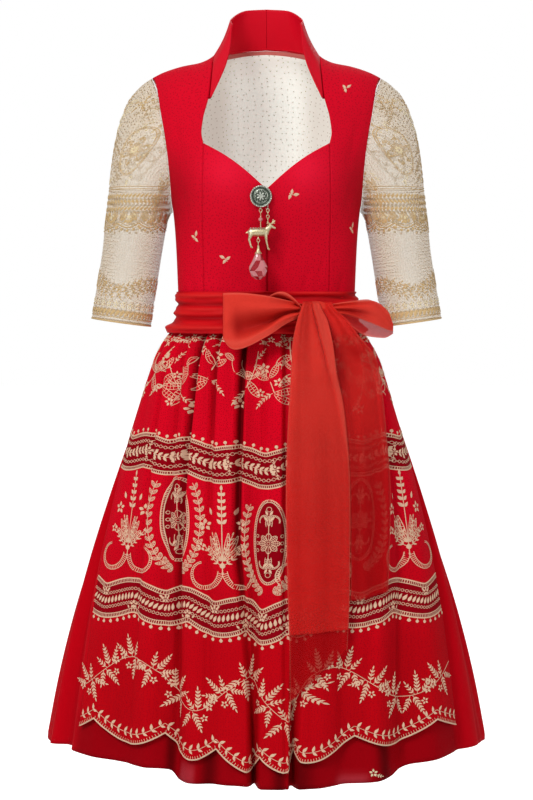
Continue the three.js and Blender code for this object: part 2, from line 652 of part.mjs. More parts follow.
// A point of the skirt's cloth on grain line s at a height, moved out by out.
function skirtPoint(s, z, out = 0) {
  const v = clamp((WAIST_Z - z) / (WAIST_Z - HEM_Z));
  const angle = grainAngle(s, v);
  const more = out + drape(s, v);
  const half = curve(SKIRT, 'z', 'half', z) + more;
  const depth = curve(SKIRT, 'z', Math.cos(angle) > 0 ? 'front' : 'back', z) + more;
  return new THREE.Vector3(half * Math.sin(angle), -depth * Math.cos(angle), z);
}

// Grain lines where both skirt and apron are cut into facets: closer over the apron, wider behind.
const FRONT_LINES = 52;
const BACK_LINES = 40;
const between = (from, to, count) => Array.from({ length: count + 1 }, (_, i) => mix(from, to, i / count));
const frontLines = between(APRON_LEFT, APRON_RIGHT, FRONT_LINES);
const backLines = between(APRON_RIGHT, APRON_LEFT + ROUND_S, BACK_LINES);
const SIDE_LINES = 5;          // lines of the skirt's front beyond the apron's edge, to the side seams

// A wall of skirt cloth on a list of grain lines, down to a height that may differ by line. Out gives
// how far it stands off the skirt at a height.
function skirtWall(lines, topZ, bottomZ, rowShares, thickness, out) {
  const place = (s, z) => skirtPoint(s, z, out(z));
  const places = lines.map((s) => rowShares.map((v) => [s, mix(bottomZ(s), topZ, v)]));
  const points = places.map((column) => column.map(([s, z]) => place(s, z)));
  const normals = places.map((column) => column.map(([s, z]) => normalOf(place, s, z, 0.02, 1)));
  return wall(points, normals, thickness);
}

// The skirt's hem hangs lower in front, between the steps at s 1.1 and 5.6, and at the side seams.
const SKIRT_HEM = [
  { s: -1.8, z: -1081 },
  { s: -1.1, z: -1069 },
  { s: -0.4, z: -1063 },
  { s: 0.8, z: -1065 },
  { s: 1.04, z: -1068 },
  { s: 1.2, z: -1081 },
  { s: 2.2, z: -1081 },
  { s: 3, z: -1086 },
  { s: 4, z: -1087 },
  { s: 5, z: -1085 },
  { s: 5.45, z: -1081 },
  { s: 5.75, z: -1069 },
  { s: 6.2, z: -1065 },
  { s: 6.8, z: -1067 },
  { s: 7.3, z: -1082 },
  { s: 7.8, z: -1086 },
  { s: 9.2, z: -1080 },
  { s: 16.3, z: -1081 },
];
const skirtHem = (s) => curve(SKIRT_HEM, 's', 'z', s);

// The skirt is sewn from eight gores, four before the side seams and four behind, each from one seam
// line to the next with a hair's gap between them.
const SKIRT_ROWS = [0, 0.16, 0.33, 0.5, 0.66, 0.8, 0.9, 0.955, 1];
const frontSkirt = [
  ...backLines.slice(-SIDE_LINES - 1, -1).map((s) => s - ROUND_S),
  ...frontLines,
  ...backLines.slice(1, SIDE_LINES + 1),
];
const backSkirt = backLines.slice(SIDE_LINES, -SIDE_LINES);
const skirtTop = WAIST_Z - 0.6;
const GORES = [
  { name: 'skirt_side_front_right', lines: frontSkirt.slice(0, 17) },
  { name: 'skirt_front_right', lines: frontSkirt.slice(16, 32) },
  { name: 'skirt_front_left', lines: frontSkirt.slice(31, 47) },
  { name: 'skirt_side_front_left', lines: frontSkirt.slice(46) },
  { name: 'skirt_side_back_left', lines: backSkirt.slice(0, 9) },
  { name: 'skirt_back_left', lines: backSkirt.slice(8, 16) },
  { name: 'skirt_back_right', lines: backSkirt.slice(15, 23) },
  { name: 'skirt_side_back_right', lines: backSkirt.slice(22) },
];
for (const { name, lines } of GORES) {
  const cut = [lines[0] + GORE_SEAM, ...lines.slice(1, -1), lines[lines.length - 1] - GORE_SEAM];
  add(name, skirtWall(cut, skirtTop, skirtHem, SKIRT_ROWS, SKIRT_WALL, () => 0), SKIRT_CLOTH);
}

const APRON_TOP = -409;
const APRON_CUSP = -1003;      // height of the points between two scallops
const APRON_SAG = { s: 3.05, wide: 1.9, down: 36 };
const LOBE = 24;
function apronHem(s) {
  const away = (s - APRON_SAG.s) / APRON_SAG.wide;
  return APRON_CUSP - APRON_SAG.down * Math.exp(-away * away) - LOBE * Math.abs(Math.sin(Math.PI * s));
}
const APRON_ROWS = [0, 0.08, 0.18, 0.3, 0.42, 0.54, 0.66, 0.77, 0.86, 0.93, 1];
const apronOut = (z) => mix(APRON_OUT.waist, APRON_OUT.hem, (APRON_TOP - z) / (APRON_TOP - APRON_CUSP));
add('apron', skirtWall(frontLines, APRON_TOP, apronHem, APRON_ROWS, APRON_WALL, apronOut), APRON_CLOTH);

// ---- Sash and bow -------------------------------------------------------------------------
function sashPoint(u, v) {
  const z = mix(SASH[0].z, SASH[SASH.length - 1].z, v);
  const angle = 2 * Math.PI * u;
  const inFront = Math.cos(angle) > 0;
  const half = curve(BODY, 'z', 'half', z) + curve(SASH, 'z', 'out', z);
  const depth = curve(BODY, 'z', inFront ? 'front' : 'back', z) + curve(SASH, 'z', 'front', z);
  return new THREE.Vector3(
    half * signedPower(Math.sin(angle), 2 / ROUND),
    -depth * signedPower(Math.cos(angle), 2 / ROUND),
    z,
  );
}
add('sash_band', sheet(sashPoint, 40, 6, SASH_WALL, true), ORGANZA);

// The knot is a rounded bundle with a few soft pleats that run round it.
const knot = new THREE.SphereGeometry(1, 16, 10);
const knotAt = knot.getAttribute('position');
for (let i = 0; i < knotAt.count; i++) {
  const [x, y, z] = [knotAt.getX(i), knotAt.getY(i), knotAt.getZ(i)];
  const pleat = 1 + KNOT.pleat * Math.cos(KNOT.pleats * Math.atan2(z, x)) * (1 - y * y);
  knotAt.setXYZ(i, x * KNOT.across * pleat, z * KNOT.deep * pleat, -y * KNOT.tall);
}
add('bow_knot', knot, ORGANZA).position.set(KNOT.x, KNOT.y, KNOT.z);

// A bow loop leaves the knot (u 0), opens out to its tip and comes back behind itself (u 1).
function loopPoint(table, u, v) {
  const at = (name) => curve(table, 'u', name, u);
  return new THREE.Vector3(at('x'), at('y'), mix(at('bottom'), at('top'), v));
}
add('bow_loop_right', sheet((u, v) => loopPoint(LOOP_RIGHT, 1 - u, v), 24, 4, BOW_WALL), ORGANZA);
add('bow_loop_left', sheet((u, v) => loopPoint(LOOP_LEFT, u, v), 22, 4, BOW_WALL), ORGANZA);

// The tails fall from the knot and come to lie on the apron. Each stands where the knot holds it
// or a little off the skirt's form, whichever is further out.
function tailPoint(table, slant, u, v) {
  const z = mix(table[table.length - 1].z + slant * u, table[0].z, v);
  const at = (name) => curve(table, 'z', name, z);
  const x = mix(at('left'), at('right'), u);
  const half = curve(SKIRT, 'z', 'half', z) + TAIL_OUT;
  const front = curve(SKIRT, 'z', 'front', z) + TAIL_OUT;
  const onForm = front * Math.sqrt(1 - clamp(x / half, -0.98, 0.98) ** 2);
  const wave = TAIL_WAVE.deep * (1 - Math.cos(2 * Math.PI * TAIL_WAVE.count * u)) / 2;
  const y = (onForm ** SOFT_MAX + at('held') ** SOFT_MAX) ** (1 / SOFT_MAX);
  return new THREE.Vector3(x, -y - wave * smooth((1 - v) * 3), z);
}
add('bow_tail_long', sheet((u, v) => tailPoint(TAIL_LONG, TAIL_SLANT, u, v), 7, 16, BOW_WALL), ORGANZA);
add('bow_tail_short', sheet((u, v) => tailPoint(TAIL_SHORT, 0, u, v), 6, 12, BOW_WALL), ORGANZA);

// ---- Solids that are joined from several shapes -------------------------------------------
const wasm = await Module();
wasm.setup();

function solidOf(geometry) {
  const bare = geometry.clone();
  bare.deleteAttribute('normal');
  bare.deleteAttribute('uv');
  const merged = mergeVertices(bare, 1e-4);
  return new wasm.Manifold(new wasm.Mesh({
    numProp: 3,
    vertProperties: new Float32Array(merged.getAttribute('position').array),
    triVerts: new Uint32Array(merged.index.array),
  }));
}

function geometryOf(solid) {
  const mesh = solid.getMesh();
  return new THREE.BufferGeometry()
    .setAttribute('position', new THREE.BufferAttribute(mesh.vertProperties, 3))
    .setIndex(new THREE.BufferAttribute(mesh.triVerts, 1));
}

const joined = (shapes) => geometryOf(shapes.map(solidOf).reduce((whole, shape) => whole.add(shape)));

// A limb from one point to another, tapering between two radii.
function limb({ from, to, start, end }, sides = 6) {
  const [a, b] = [new THREE.Vector3(...from), new THREE.Vector3(...to)];
  const length = a.distanceTo(b);
  const profile = [
    new THREE.Vector2(0, -start * 0.7),
    new THREE.Vector2(start, 0),
    new THREE.Vector2(end, length),
    new THREE.Vector2(0, length + end * 0.7),
  ];
  const up = new THREE.Vector3(0, 1, 0);
  return new THREE.LatheGeometry(profile, sides)
    .applyQuaternion(new THREE.Quaternion().setFromUnitVectors(up, b.sub(a).normalize()))
    .translate(a.x, a.y, a.z);
}

// An oval chain link: seen from the front it is open, and a turned one is seen edge on.
function link(x, z, turned, stretch = LINK.stretch) {
  const shape = new THREE.TorusGeometry(LINK.radius, LINK.wire, 4, 8);
  shape.scale(1, stretch, 1);
  shape.rotateX(Math.PI / 2);
  if (turned) shape.rotateZ(Math.PI / 2);
  return shape.translate(x, HANG_Y, z);
}

// ---- Button and pendant -------------------------------------------------------------------
const buttonProfile = BUTTON_PROFILE.map(({ radius, height }) => new THREE.Vector2(radius, height));
const disc = new THREE.LatheGeometry(buttonProfile, 24)
  .rotateX(Math.PI)
  .translate(BUTTON.x, BUTTON.y, BUTTON.z);
const eyes = [link(STAG_HANG_X, EYE_Z, true, 1), link(FRONT_HANG_X, EYE_Z + 1.2, true, 1.8)];
add('button', joined([disc, ...eyes]), PEWTER);

// The stag faces +X. Two chains, fused to it, hold it from the button's eyes.
const bothSides = STAG_LEGS_AND_ANTLERS.flatMap((row) => [1, -1].map((side) => ({
  ...row,
  from: [row.from[0], side * row.from[1], row.from[2]],
  to: [row.to[0], side * row.to[1], row.to[2]],
})));
const stagShape = [...STAG_BODY, ...bothSides].map((row) =>
  limb(row).translate(STAG.x, HANG_Y, STAG.z));
const chains = [
  ...[0, 1].map((n) => link(STAG_HANG_X, FIRST_LINK_Z - n * LINK_STEP, n % 2 === 1)),
  limb({ from: [STAG_HANG_X, HANG_Y, -245], to: [STAG_HANG_X, HANG_Y, -264], start: 0.7, end: 0.7 }, 6),
  ...[0, 1, 2, 3].map((n) => link(FRONT_HANG_X, FIRST_LINK_Z - n * LINK_STEP, n % 2 === 1)),
];
const bellyLoop = link(DROP_HANG_X, BELLY_LOOP_Z, true, 1);
add('stag_charm', joined([...stagShape, ...chains, bellyLoop]), GILT);

const beadBody = solidOf(new THREE.SphereGeometry(BEAD.radius, 12, 8).translate(STAG_HANG_X, HANG_Y, BEAD.z));
const beadHole = new THREE.CylinderGeometry(1.05, 1.05, 4 * BEAD.radius, 8)
  .rotateX(Math.PI / 2)
  .translate(STAG_HANG_X, HANG_Y, BEAD.z);
add('charm_bead', geometryOf(beadBody.subtract(solidOf(beadHole))), CRYSTAL);

// The drop: a link and a pointed cap, with a faceted crystal under it.
const dropAt = (shape) => shape.rotateX(Math.PI / 2).translate(DROP_HANG_X, HANG_Y, CAP_TOP_Z);
const asProfile = (rows) => rows.map(({ radius, down }) => new THREE.Vector2(radius, -down));
const cap = dropAt(new THREE.LatheGeometry(asProfile(CAP_PROFILE), 10));
const dropLinks = [link(DROP_HANG_X, DROP_LINK_Z, false), link(DROP_HANG_X, DROP_LINK_Z - LINK_STEP, true)];
add('drop_cap', joined([cap, ...dropLinks]), GILT);
const crystal = dropAt(new THREE.LatheGeometry(asProfile(CRYSTAL_PROFILE), 8));
crystal.translate(0, -HANG_Y, 0).scale(1, CRYSTAL_FLATNESS, 1).translate(0, HANG_Y, 0);
add('drop_crystal', crystal, CRYSTAL);

export default group;
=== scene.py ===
"""Looks of the folk dress: cloth, embroidery, organza bow, button and charm. Metres, +Z up, -Y front."""

import math

import bpy
import numpy as np
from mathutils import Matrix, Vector


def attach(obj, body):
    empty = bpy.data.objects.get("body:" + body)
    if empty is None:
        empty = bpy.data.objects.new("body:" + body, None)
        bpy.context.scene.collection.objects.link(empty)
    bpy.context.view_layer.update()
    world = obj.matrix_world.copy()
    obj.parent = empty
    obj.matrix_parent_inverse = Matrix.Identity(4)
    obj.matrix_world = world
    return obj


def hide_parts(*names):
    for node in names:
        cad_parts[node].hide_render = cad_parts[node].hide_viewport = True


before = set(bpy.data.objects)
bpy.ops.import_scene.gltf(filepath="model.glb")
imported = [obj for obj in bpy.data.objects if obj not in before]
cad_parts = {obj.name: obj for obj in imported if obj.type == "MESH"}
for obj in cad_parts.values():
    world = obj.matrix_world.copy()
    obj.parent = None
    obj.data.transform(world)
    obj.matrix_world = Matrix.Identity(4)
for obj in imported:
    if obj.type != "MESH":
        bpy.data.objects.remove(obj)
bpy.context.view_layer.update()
MM = 0.001


# ---- Form of the dress, in millimetres
def table(names, *rows):
    """Rows of numbers under named columns."""
    return [dict(zip(names.split(), row)) for row in rows]


WAIST_Z = -404
HEM_Z = -1075
ROUND = 2.2
SEAM = 0.5
SHOULDER_SEAM_Y = 5
ROUNDING_FRONT = 62
ROUNDING_BACK = 50
WALL = {
    "bodice": 1.6, "tape": 0.3, "lining": 0.8, "collar": 2.2, "sleeve": 0.7, "skirt": 1.5, "apron": 1.2,
    "sash": 1.2, "bow": 0.9,
}
TAPE_GAP = 0.15
LINING_GAP = 0.6
BODICE_FOOT_Z = WAIST_Z + 0.5
BUST = {"x": 72, "z": -188, "wide": 44, "tall": 50, "out": 9}
NECK_SIDE = 83
CENTRE_NECK_Z = -205
NECK_BOW = 6
APRON_OUT_WAIST = 3.5
APRON_OUT_HEM = 8
APRON_TOP = -409
APRON_CUSP = -1003
APRON_SAG = {"s": 3.05, "wide": 1.9, "down": 36}
STITCH_SAG = {"s": 3.1, "wide": 1.4, "down": 24}
LOBE = 24
APRON_LEFT = -0.25
APRON_RIGHT = 6.3
ROUND_S = 18.05
GRAIN_CURVE = 1.8
GATHERS = 44
GATHER_DEPTH = 2.1
GATHER_LENGTH = 0.13

# Half width and depths of the bodice and of the skirt, by height.
BODY = table(
    "z half front back",
    (60, 198, 52, 66), (20, 198, 60, 75), (0, 198, 64, 80), (-24, 196, 74, 87), (-50, 191, 86, 92),
    (-88, 184, 100, 96), (-118, 177, 110, 97), (-152, 169, 118, 96), (-190, 159, 122, 93),
    (-234, 148.5, 117, 89), (-272, 145, 107, 85), (-310, 143, 99, 82), (-349, 141.5, 94, 81),
    (-404, 139.5, 91, 82),
)
SKIRT = table(
    "z half front back",
    (-404, 139.5, 91, 82), (-415, 143.5, 94, 87), (-426, 150, 99, 94), (-438, 159, 105, 103),
    (-464, 174, 117, 119), (-502, 188, 131, 136), (-541, 201, 146, 152), (-598, 221, 166, 172),
    (-694, 254, 196, 204), (-790, 286, 223, 233), (-886, 314, 248, 258), (-982, 337, 270, 278),
    (-1075, 355, 289, 292),
)
SHOULDER = table(
    "x z",
    (0, 85), (30, 62), (60, 38), (75, 24), (83, 13.5), (94, 6), (107, 1), (133, -4), (163, -13.5),
    (182, -23), (200, -34),
)
PRINCESS_EDGE = table("v x z", (0, 97, -403.5), (0.4, 99, -240), (0.64, 97, -134))
NECK_EDGE = table(
    "v x z",
    (0.64, 97, -134), (0.68, 100, -119), (0.74, 97, -96), (0.82, 88, -64), (0.9, 85, -30), (1, 83, 13),
)
PRINCESS_TOP = PRINCESS_EDGE[-1]["v"]
COLLAR_END = 0.82
ARM_EDGE = table(
    "v x z",
    (0.43, 148.4, -234), (0.48, 150, -222), (0.56, 151, -193), (0.67, 154, -152), (0.76, 158.5, -118),
    (0.84, 164, -88), (0.93, 171, -50), (1, 181, -22.5),
)
BACK_NECK = table("x z", (0, 30), (30, 28), (60, 22), (75, 16.5), (83, 13))
COLLAR_TOP = table(
    "u x y z",
    (0, 0, 62, 95), (0.18, 32, 54, 92), (0.36, 52, 30, 79), (0.5, 58, 0, 67), (0.6, 55, -27, 58),
    (0.7, 56, -44, 30), (0.8, 62, -62, -2), (0.9, 73, -78, -32), (1, 87, -90, -63),
)
COLLAR_BACK_U = 0.46
SLEEVE = table(
    "z x y across deep",
    (-262, 209, -4, 48, 56), (-310, 215.5, -6, 46.5, 53), (-360, 223.5, -10, 46.5, 51),
    (-410, 231, -14, 47, 50),
)
SLEEVE_TILT = 0.14
CAP_SHARE = 0.5
# Grain lines of skirt and apron: s counts scallops, the angles are at waist and hem.
GRAIN = table(
    "s waist hem",
    (-0.25, -95, -53.4), (0, -87.7, -47.7), (1, -58.4, -25.9), (2, -29, -12), (2.5, -14.4, -4.6),
    (3, 0.3, -1.6), (3.5, 15, 4.6), (4.3, 38.4, 7.8), (4.5, 44.3, 10.8), (5, 59, 21.8), (5.5, 73.5, 34),
    (6, 88, 46.8), (6.3, 97, 56.9), (17.8, 265, 306.6),
)
FOLDS = table(
    "s wide waist hem",
    (0.35, 0.42, 1, 9), (1.12, 0.4, 4, 19), (1.9, 0.3, 1, 6), (2.75, 0.3, 5, 23), (3.92, 0.42, 3, 24),
    (4.92, 0.36, 2, 12), (5.62, 0.4, 3, 20), (6.35, 0.36, 1, 9), (7.2, 0.48, 3, 14), (8.15, 0.42, 2, 10),
    (9.25, 0.5, 3, 24), (10.3, 0.44, 2, 17), (11.3, 0.5, 3, 23), (12.45, 0.46, 2, 16),
    (13.4, 0.5, 3, 24), (14.5, 0.44, 2, 18), (15.4, 0.5, 3, 22), (16.45, 0.44, 2, 8), (17.25, 0.4, 2, 19),
)
SASH = table(
    "z out front",
    (-426, 20, 20), (-419, 21, 21), (-409, 13, 15), (-399, 6.5, 9), (-387, 5.5, 7), (-374, 4, 5),
    (-361, 3.4, 4),
)
KNOT = {"x": 75, "y": -113, "z": -389, "across": 24, "deep": 13, "tall": 13.5}
LOOP_RIGHT = table(
    "u x y top bottom",
    (0, 56, -119, -381, -398), (0.15, 32, -138, -375, -409), (0.32, -4, -152, -367, -432),
    (0.45, -46, -153, -363, -449), (0.52, -66, -140, -364, -447), (0.6, -62, -128, -366, -440),
    (0.72, -24, -123, -370, -430), (0.88, 24, -120, -373, -414), (1, 56, -108, -381, -400),
)
LOOP_LEFT = table(
    "u x y top bottom",
    (0, 95, -109, -382, -398), (0.16, 124, -103, -377, -410), (0.34, 156, -88, -373, -430),
    (0.46, 183, -76, -389, -433), (0.54, 197, -77, -412, -426), (0.62, 187, -89, -390, -431),
    (0.76, 160, -108, -375, -424), (0.9, 122, -119, -378, -408), (1, 95, -117, -382, -398),
)
SKIRT_HEM = table(
    "s z",
    (-1.8, -1081), (-1.1, -1069), (-0.4, -1063), (0.8, -1065), (1.04, -1068), (1.2, -1081), (2.2, -1081),
    (3, -1086), (4, -1087), (5, -1085), (5.45, -1081), (5.75, -1069), (6.2, -1065), (6.8, -1067),
    (7.3, -1082), (7.8, -1086), (9.2, -1080), (16.3, -1081),
)
TAIL_LONG = table(
    "z left right held",
    (-376, 56, 80, 116), (-380, 55, 81, 125), (-388, 52, 84, 129), (-403.5, 47, 92, 130),
    (-441, 39.5, 101, 132), (-486, 37, 107, 128), (-526, 34.5, 116, 100), (-569, 32, 121, 60),
    (-660, 29, 126, 0), (-800, 31, 124, 0), (-900, 34, 119, 0), (-960, 34, 117, 0),
)
TAIL_SHORT = table(
    "z left right held",
    (-377, 79, 100, 114), (-381, 80, 101.5, 122), (-388, 82, 106, 125), (-403.5, 89, 123, 127),
    (-425, 97, 139, 124), (-441, 101, 153, 114), (-459, 104, 167, 96), (-482, 108, 176, 60),
    (-498, 111, 179.5, 0), (-569, 121, 185, 0), (-660, 126, 190, 0), (-760, 126, 186, 0),
    (-820, 125, 182, 0),
)
TAIL_SLANT = 70
TAIL_OUT = 11
SOFT_MAX = 12
SIDES = ((1, "left"), (-1, "right"))

# Sharp creases of skirt and apron: grain line at waist, middle and hem, half width in scallops, and depth at
# the waist, in the middle and at the hem.
CREASES = table(
    "waist middle hem wide top_in mid_in low_in",
    (0.72, 0.6, 0.45, 0.11, 9, 6, 1), (1.2, 1.02, 0.9, 0.1, 9, 4, 0), (1.62, 1.3, 1.15, 0.13, 20, 17, 3),
    (2.0, 1.9, 1.8, 0.1, 15, 5, 0), (2.54, 2.38, 2.72, 0.12, 24, 19, 6), (2.95, 3.0, 3.05, 0.1, 9, 3, 0),
    (3.36, 3.4, 3.5, 0.11, 10, 8, 3), (3.8, 3.8, 3.75, 0.12, 8, 7, 4), (4.3, 4.4, 4.5, 0.1, 6, 3, 0),
    (4.75, 4.8, 4.9, 0.13, 8, 6, 2), (5.3, 5.2, 5.1, 0.11, 8, 5, 0), (5.75, 5.7, 5.6, 0.12, 7, 6, 2),
    (6.6, 6.5, 6.4, 0.14, 8, 8, 3), (7.3, 7.4, 7.5, 0.16, 10, 10, 3), (8.3, 8.1, 8.0, 0.14, 8, 6, 2),
    (9.0, 9.2, 9.4, 0.16, 12, 12, 4), (10.1, 10.2, 10.2, 0.13, 9, 7, 2), (11.1, 11.2, 11.4, 0.16, 12, 12, 4),
    (12.2, 12.3, 12.4, 0.14, 8, 6, 2), (13.3, 13.3, 13.5, 0.16, 12, 10, 3), (14.4, 14.5, 14.6, 0.14, 8, 7, 2),
    (15.3, 15.3, 15.4, 0.16, 10, 10, 4), (16.3, 16.4, 16.6, 0.14, 7, 7, 2), (17.2, 17.1, 17.1, 0.15, 8, 7, 3),
)


def curve(rows, column, at):
    """Monotone cubic through one column of a table, by its first column."""
    key = next(iter(rows[0]))
    rows = sorted(rows, key=lambda row: row[key])
    keys = np.array([row[key] for row in rows], float)
    values = np.array([row[column] for row in rows], float)
    slope = np.diff(values) / np.diff(keys)
    tangent = np.empty_like(values)
    tangent[0], tangent[-1] = slope[0], slope[-1]
    before, after = slope[:-1], slope[1:]
    same = before * after > 0
    tangent[1:-1] = np.where(same, 2 * before * after / np.where(same, before + after, 1), 0)
    at = np.clip(np.asarray(at, float), keys[0], keys[-1])
    i = np.clip(np.searchsorted(keys, at, side="right") - 1, 0, len(keys) - 2)
    span = keys[i + 1] - keys[i]
    t = (at - keys[i]) / span
    rise = 3 * t**2 - 2 * t**3
    return (
        values[i] * (1 - rise)
        + values[i + 1] * rise
        + (t**3 - 2 * t**2 + t) * span * tangent[i]
        + (t**3 - t**2) * span * tangent[i + 1]
    )


def curves(rows, columns, at):
    """Several columns of a table at once."""
    return [curve(rows, column, at) for column in columns.split()]


def mix(a, b, t):
    return a + (b - a) * t


def smooth(x):
    t = np.clip(x, 0, 1)
    return t * t * (3 - 2 * t)


def signed_power(x, power):
    return np.sign(x) * np.abs(x) ** power


def bump(x):
    """A soft hump, 1 at 0 and gone by 1 either side."""
    return np.where(np.abs(x) < 1, (1 + np.cos(np.pi * np.clip(x, -1, 1))) / 2, 0)


def hill(*shares):
    """A round hill, 1 where every share is 0."""
    return np.exp(-sum(share**2 for share in shares))


def stack(x, y, z):
    return np.stack(np.broadcast_arrays(x, y, z), axis=-1).astype(float)


def shoulder_rounding(x, z, radius):
    t = np.clip((curve(SHOULDER, "z", np.abs(x)) - z) / radius, 0, 1)
    return np.sqrt(1 - (1 - t) ** 2)


def form_depth(rows, angle, z):
    """Depth of a form, of its front or of its back by the angle."""
    return np.where(np.cos(angle) > 0, *curves(rows, "front back", z))


def oval(half, depth, angle):
    """x and y on the torso's rounded outline."""
    return half * signed_power(np.sin(angle), 2 / ROUND), -depth * signed_power(np.cos(angle), 2 / ROUND)


def body_point(angle, z):
    """A point on the bodice's form at an angle from the centre front and a height."""
    in_front = np.cos(angle) > 0
    x, y = oval(curve(BODY, "half", z), form_depth(BODY, angle, z), angle)
    rounding = shoulder_rounding(x, z, np.where(in_front, ROUNDING_FRONT, ROUNDING_BACK))
    seam = SHOULDER_SEAM_Y + np.where(in_front, -SEAM, SEAM) / 2
    y = seam + (y - seam) * rounding
    across = (np.abs(x) - BUST["x"]) / BUST["wide"]
    down = (z - BUST["z"]) / BUST["tall"]
    y = y - np.where(in_front, BUST["out"] * hill(across, down), 0)
    return stack(x, y, z)


def angle_at(x, z, back=False):
    """Angle of the form's point that is x from the middle at a height."""
    share = np.clip(np.abs(x) / curve(BODY, "half", z), 0, 1)
    front = np.sign(x) * np.arcsin(share ** (ROUND / 2))
    return np.pi - front if back else front


def fold_depth(s, v):
    """How far the broad folds go in on grain line s, v 0 at the waist and 1 at the hem."""
    return sum(
        mix(fold["waist"], fold["hem"], v**1.2) * bump((s + turn - fold["s"]) / fold["wide"])
        for fold in FOLDS for turn in (-ROUND_S, 0, ROUND_S)
    )


def crease_depth(s, v):
    """How far the sharp creases go in."""
    inwards = 0
    low, high = np.clip(2 * v, 0, 1), np.clip(2 * v - 1, 0, 1)
    for crease in CREASES:
        middle = mix(mix(crease["waist"], crease["middle"], low), crease["hem"], high)
        deep = mix(mix(crease["top_in"], crease["mid_in"], low), crease["low_in"], high)
        away = np.mod(s - middle + ROUND_S / 2, ROUND_S) - ROUND_S / 2
        inwards = inwards + deep * smooth(v / 0.03) * bump(away / crease["wide"])
    return inwards


def gathers(s, v):
    return np.cos(2 * np.pi * s * GATHERS / ROUND_S) * np.exp(-v / GATHER_LENGTH)


def drape(s, v):
    """How far the gathered cloth stands out, all folds together."""
    return GATHER_DEPTH * gathers(s, v) - fold_depth(s, v) - crease_depth(s, v)


def height_share(z):
    return np.clip((WAIST_Z - z) / (WAIST_Z - HEM_Z), 0, 1)


def fold_shade(s, z):
    """Share of shade that lies in the folds of skirt and apron."""
    v = height_share(z)
    crease = smooth((crease_depth(s, v) - 3) / 15) * mix(0.78, 0.3, smooth((v - 0.5) / 0.25))
    return np.clip(crease + 0.013 * fold_depth(s, v) + 0.25 * np.maximum(-gathers(s, v), 0), 0, 0.95)


def grain_angle(s, v):
    rounds = np.floor((s - APRON_LEFT) / ROUND_S)
    within = s - rounds * ROUND_S
    hem, waist = curves(GRAIN, "hem waist", within)
    return np.radians(hem + (waist - hem) * (1 - v) ** GRAIN_CURVE + 360 * rounds)


def skirt_point(s, z, out=0.0):
    """A point of the skirt's cloth on grain line s at a height, moved out by out."""
    s, z = np.broadcast_arrays(np.asarray(s, float), np.asarray(z, float))
    v = height_share(z)
    angle = grain_angle(s, v)
    more = out + drape(s, v)
    half = curve(SKIRT, "half", z) + more
    depth = form_depth(SKIRT, angle, z) + more
    return stack(half * np.sin(angle), -depth * np.cos(angle), z)


def apron_out(z):
    return mix(APRON_OUT_WAIST, APRON_OUT_HEM, (APRON_TOP - z) / (APRON_TOP - APRON_CUSP))


def apron_point(s, z, out=0.0):
    return skirt_point(s, z, apron_out(z) + out)


def sag(s, row=STITCH_SAG):
    """The apron and its stitched rows hang this much lower near the middle."""
    return row["down"] * hill((s - row["s"]) / row["wide"])


def apron_hem(s):
    return APRON_CUSP - sag(s, APRON_SAG) - LOBE * np.abs(np.sin(np.pi * s))


# ---- Meshes
def new_object(name, points, faces, materials, face_slots=None, uvs=None, smooth_faces=True, tones=None):
    """A mesh object from points in millimetres. tones are shares of shade and of light, by point."""
    mesh = bpy.data.meshes.new(name)
    faces = faces if isinstance(faces, list) else faces.tolist()
    mesh.from_pydata((np.asarray(points) * MM).tolist(), [], faces)
    for material in materials:
        mesh.materials.append(material)
    if face_slots is not None:
        mesh.polygons.foreach_set("material_index", np.asarray(face_slots, np.int32))
    if uvs is not None:
        layer = mesh.uv_layers.new(name="cut")
        layer.data.foreach_set("uv", np.asarray(uvs, np.float32).ravel())
    if tones is not None:
        corners = np.empty(len(mesh.loops), np.int32)
        mesh.loops.foreach_get("vertex_index", corners)
        layer = mesh.uv_layers.new(name="tones")
        layer.data.foreach_set("uv", tones[corners].astype(np.float32).ravel())
    mesh.polygons.foreach_set("use_smooth", np.full(len(mesh.polygons), smooth_faces))
    mesh.validate()
    thing = bpy.data.objects.new(name, mesh)
    bpy.context.scene.collection.objects.link(thing)
    return thing


def unit(vectors):
    return vectors / np.maximum(np.linalg.norm(vectors, axis=-1, keepdims=True), 1e-9)


def grid_normals(points, closed=False):
    """Normals of a grid whose first index runs round and whose second runs up."""
    if closed:
        along = np.roll(points, -1, axis=0) - np.roll(points, 1, axis=0)
    else:
        along = np.gradient(points, axis=0)
    return unit(np.cross(along, np.gradient(points, axis=1)))


def flat_size(points, closed=False):
    """Mean width and length of a grid, in metres."""
    ring = np.concatenate([points, points[:1]]) if closed else points
    width = np.linalg.norm(np.diff(ring, axis=0), axis=-1).sum(axis=0).mean()
    length = np.linalg.norm(np.diff(points, axis=1), axis=-1).sum(axis=1).mean()
    return width * MM, length * MM


def grid_faces(columns, rows, closed=False):
    """Column and row of each step of a grid, and its face. closed joins the last column to the first."""
    across = columns if closed else columns - 1
    i, j = (index.ravel() for index in np.meshgrid(np.arange(across), np.arange(rows - 1), indexing="ij"))
    start, after = i * rows + j, (i + 1) % columns * rows + j
    return i, j, np.stack([start, after, after + 1, start + 1], axis=1)


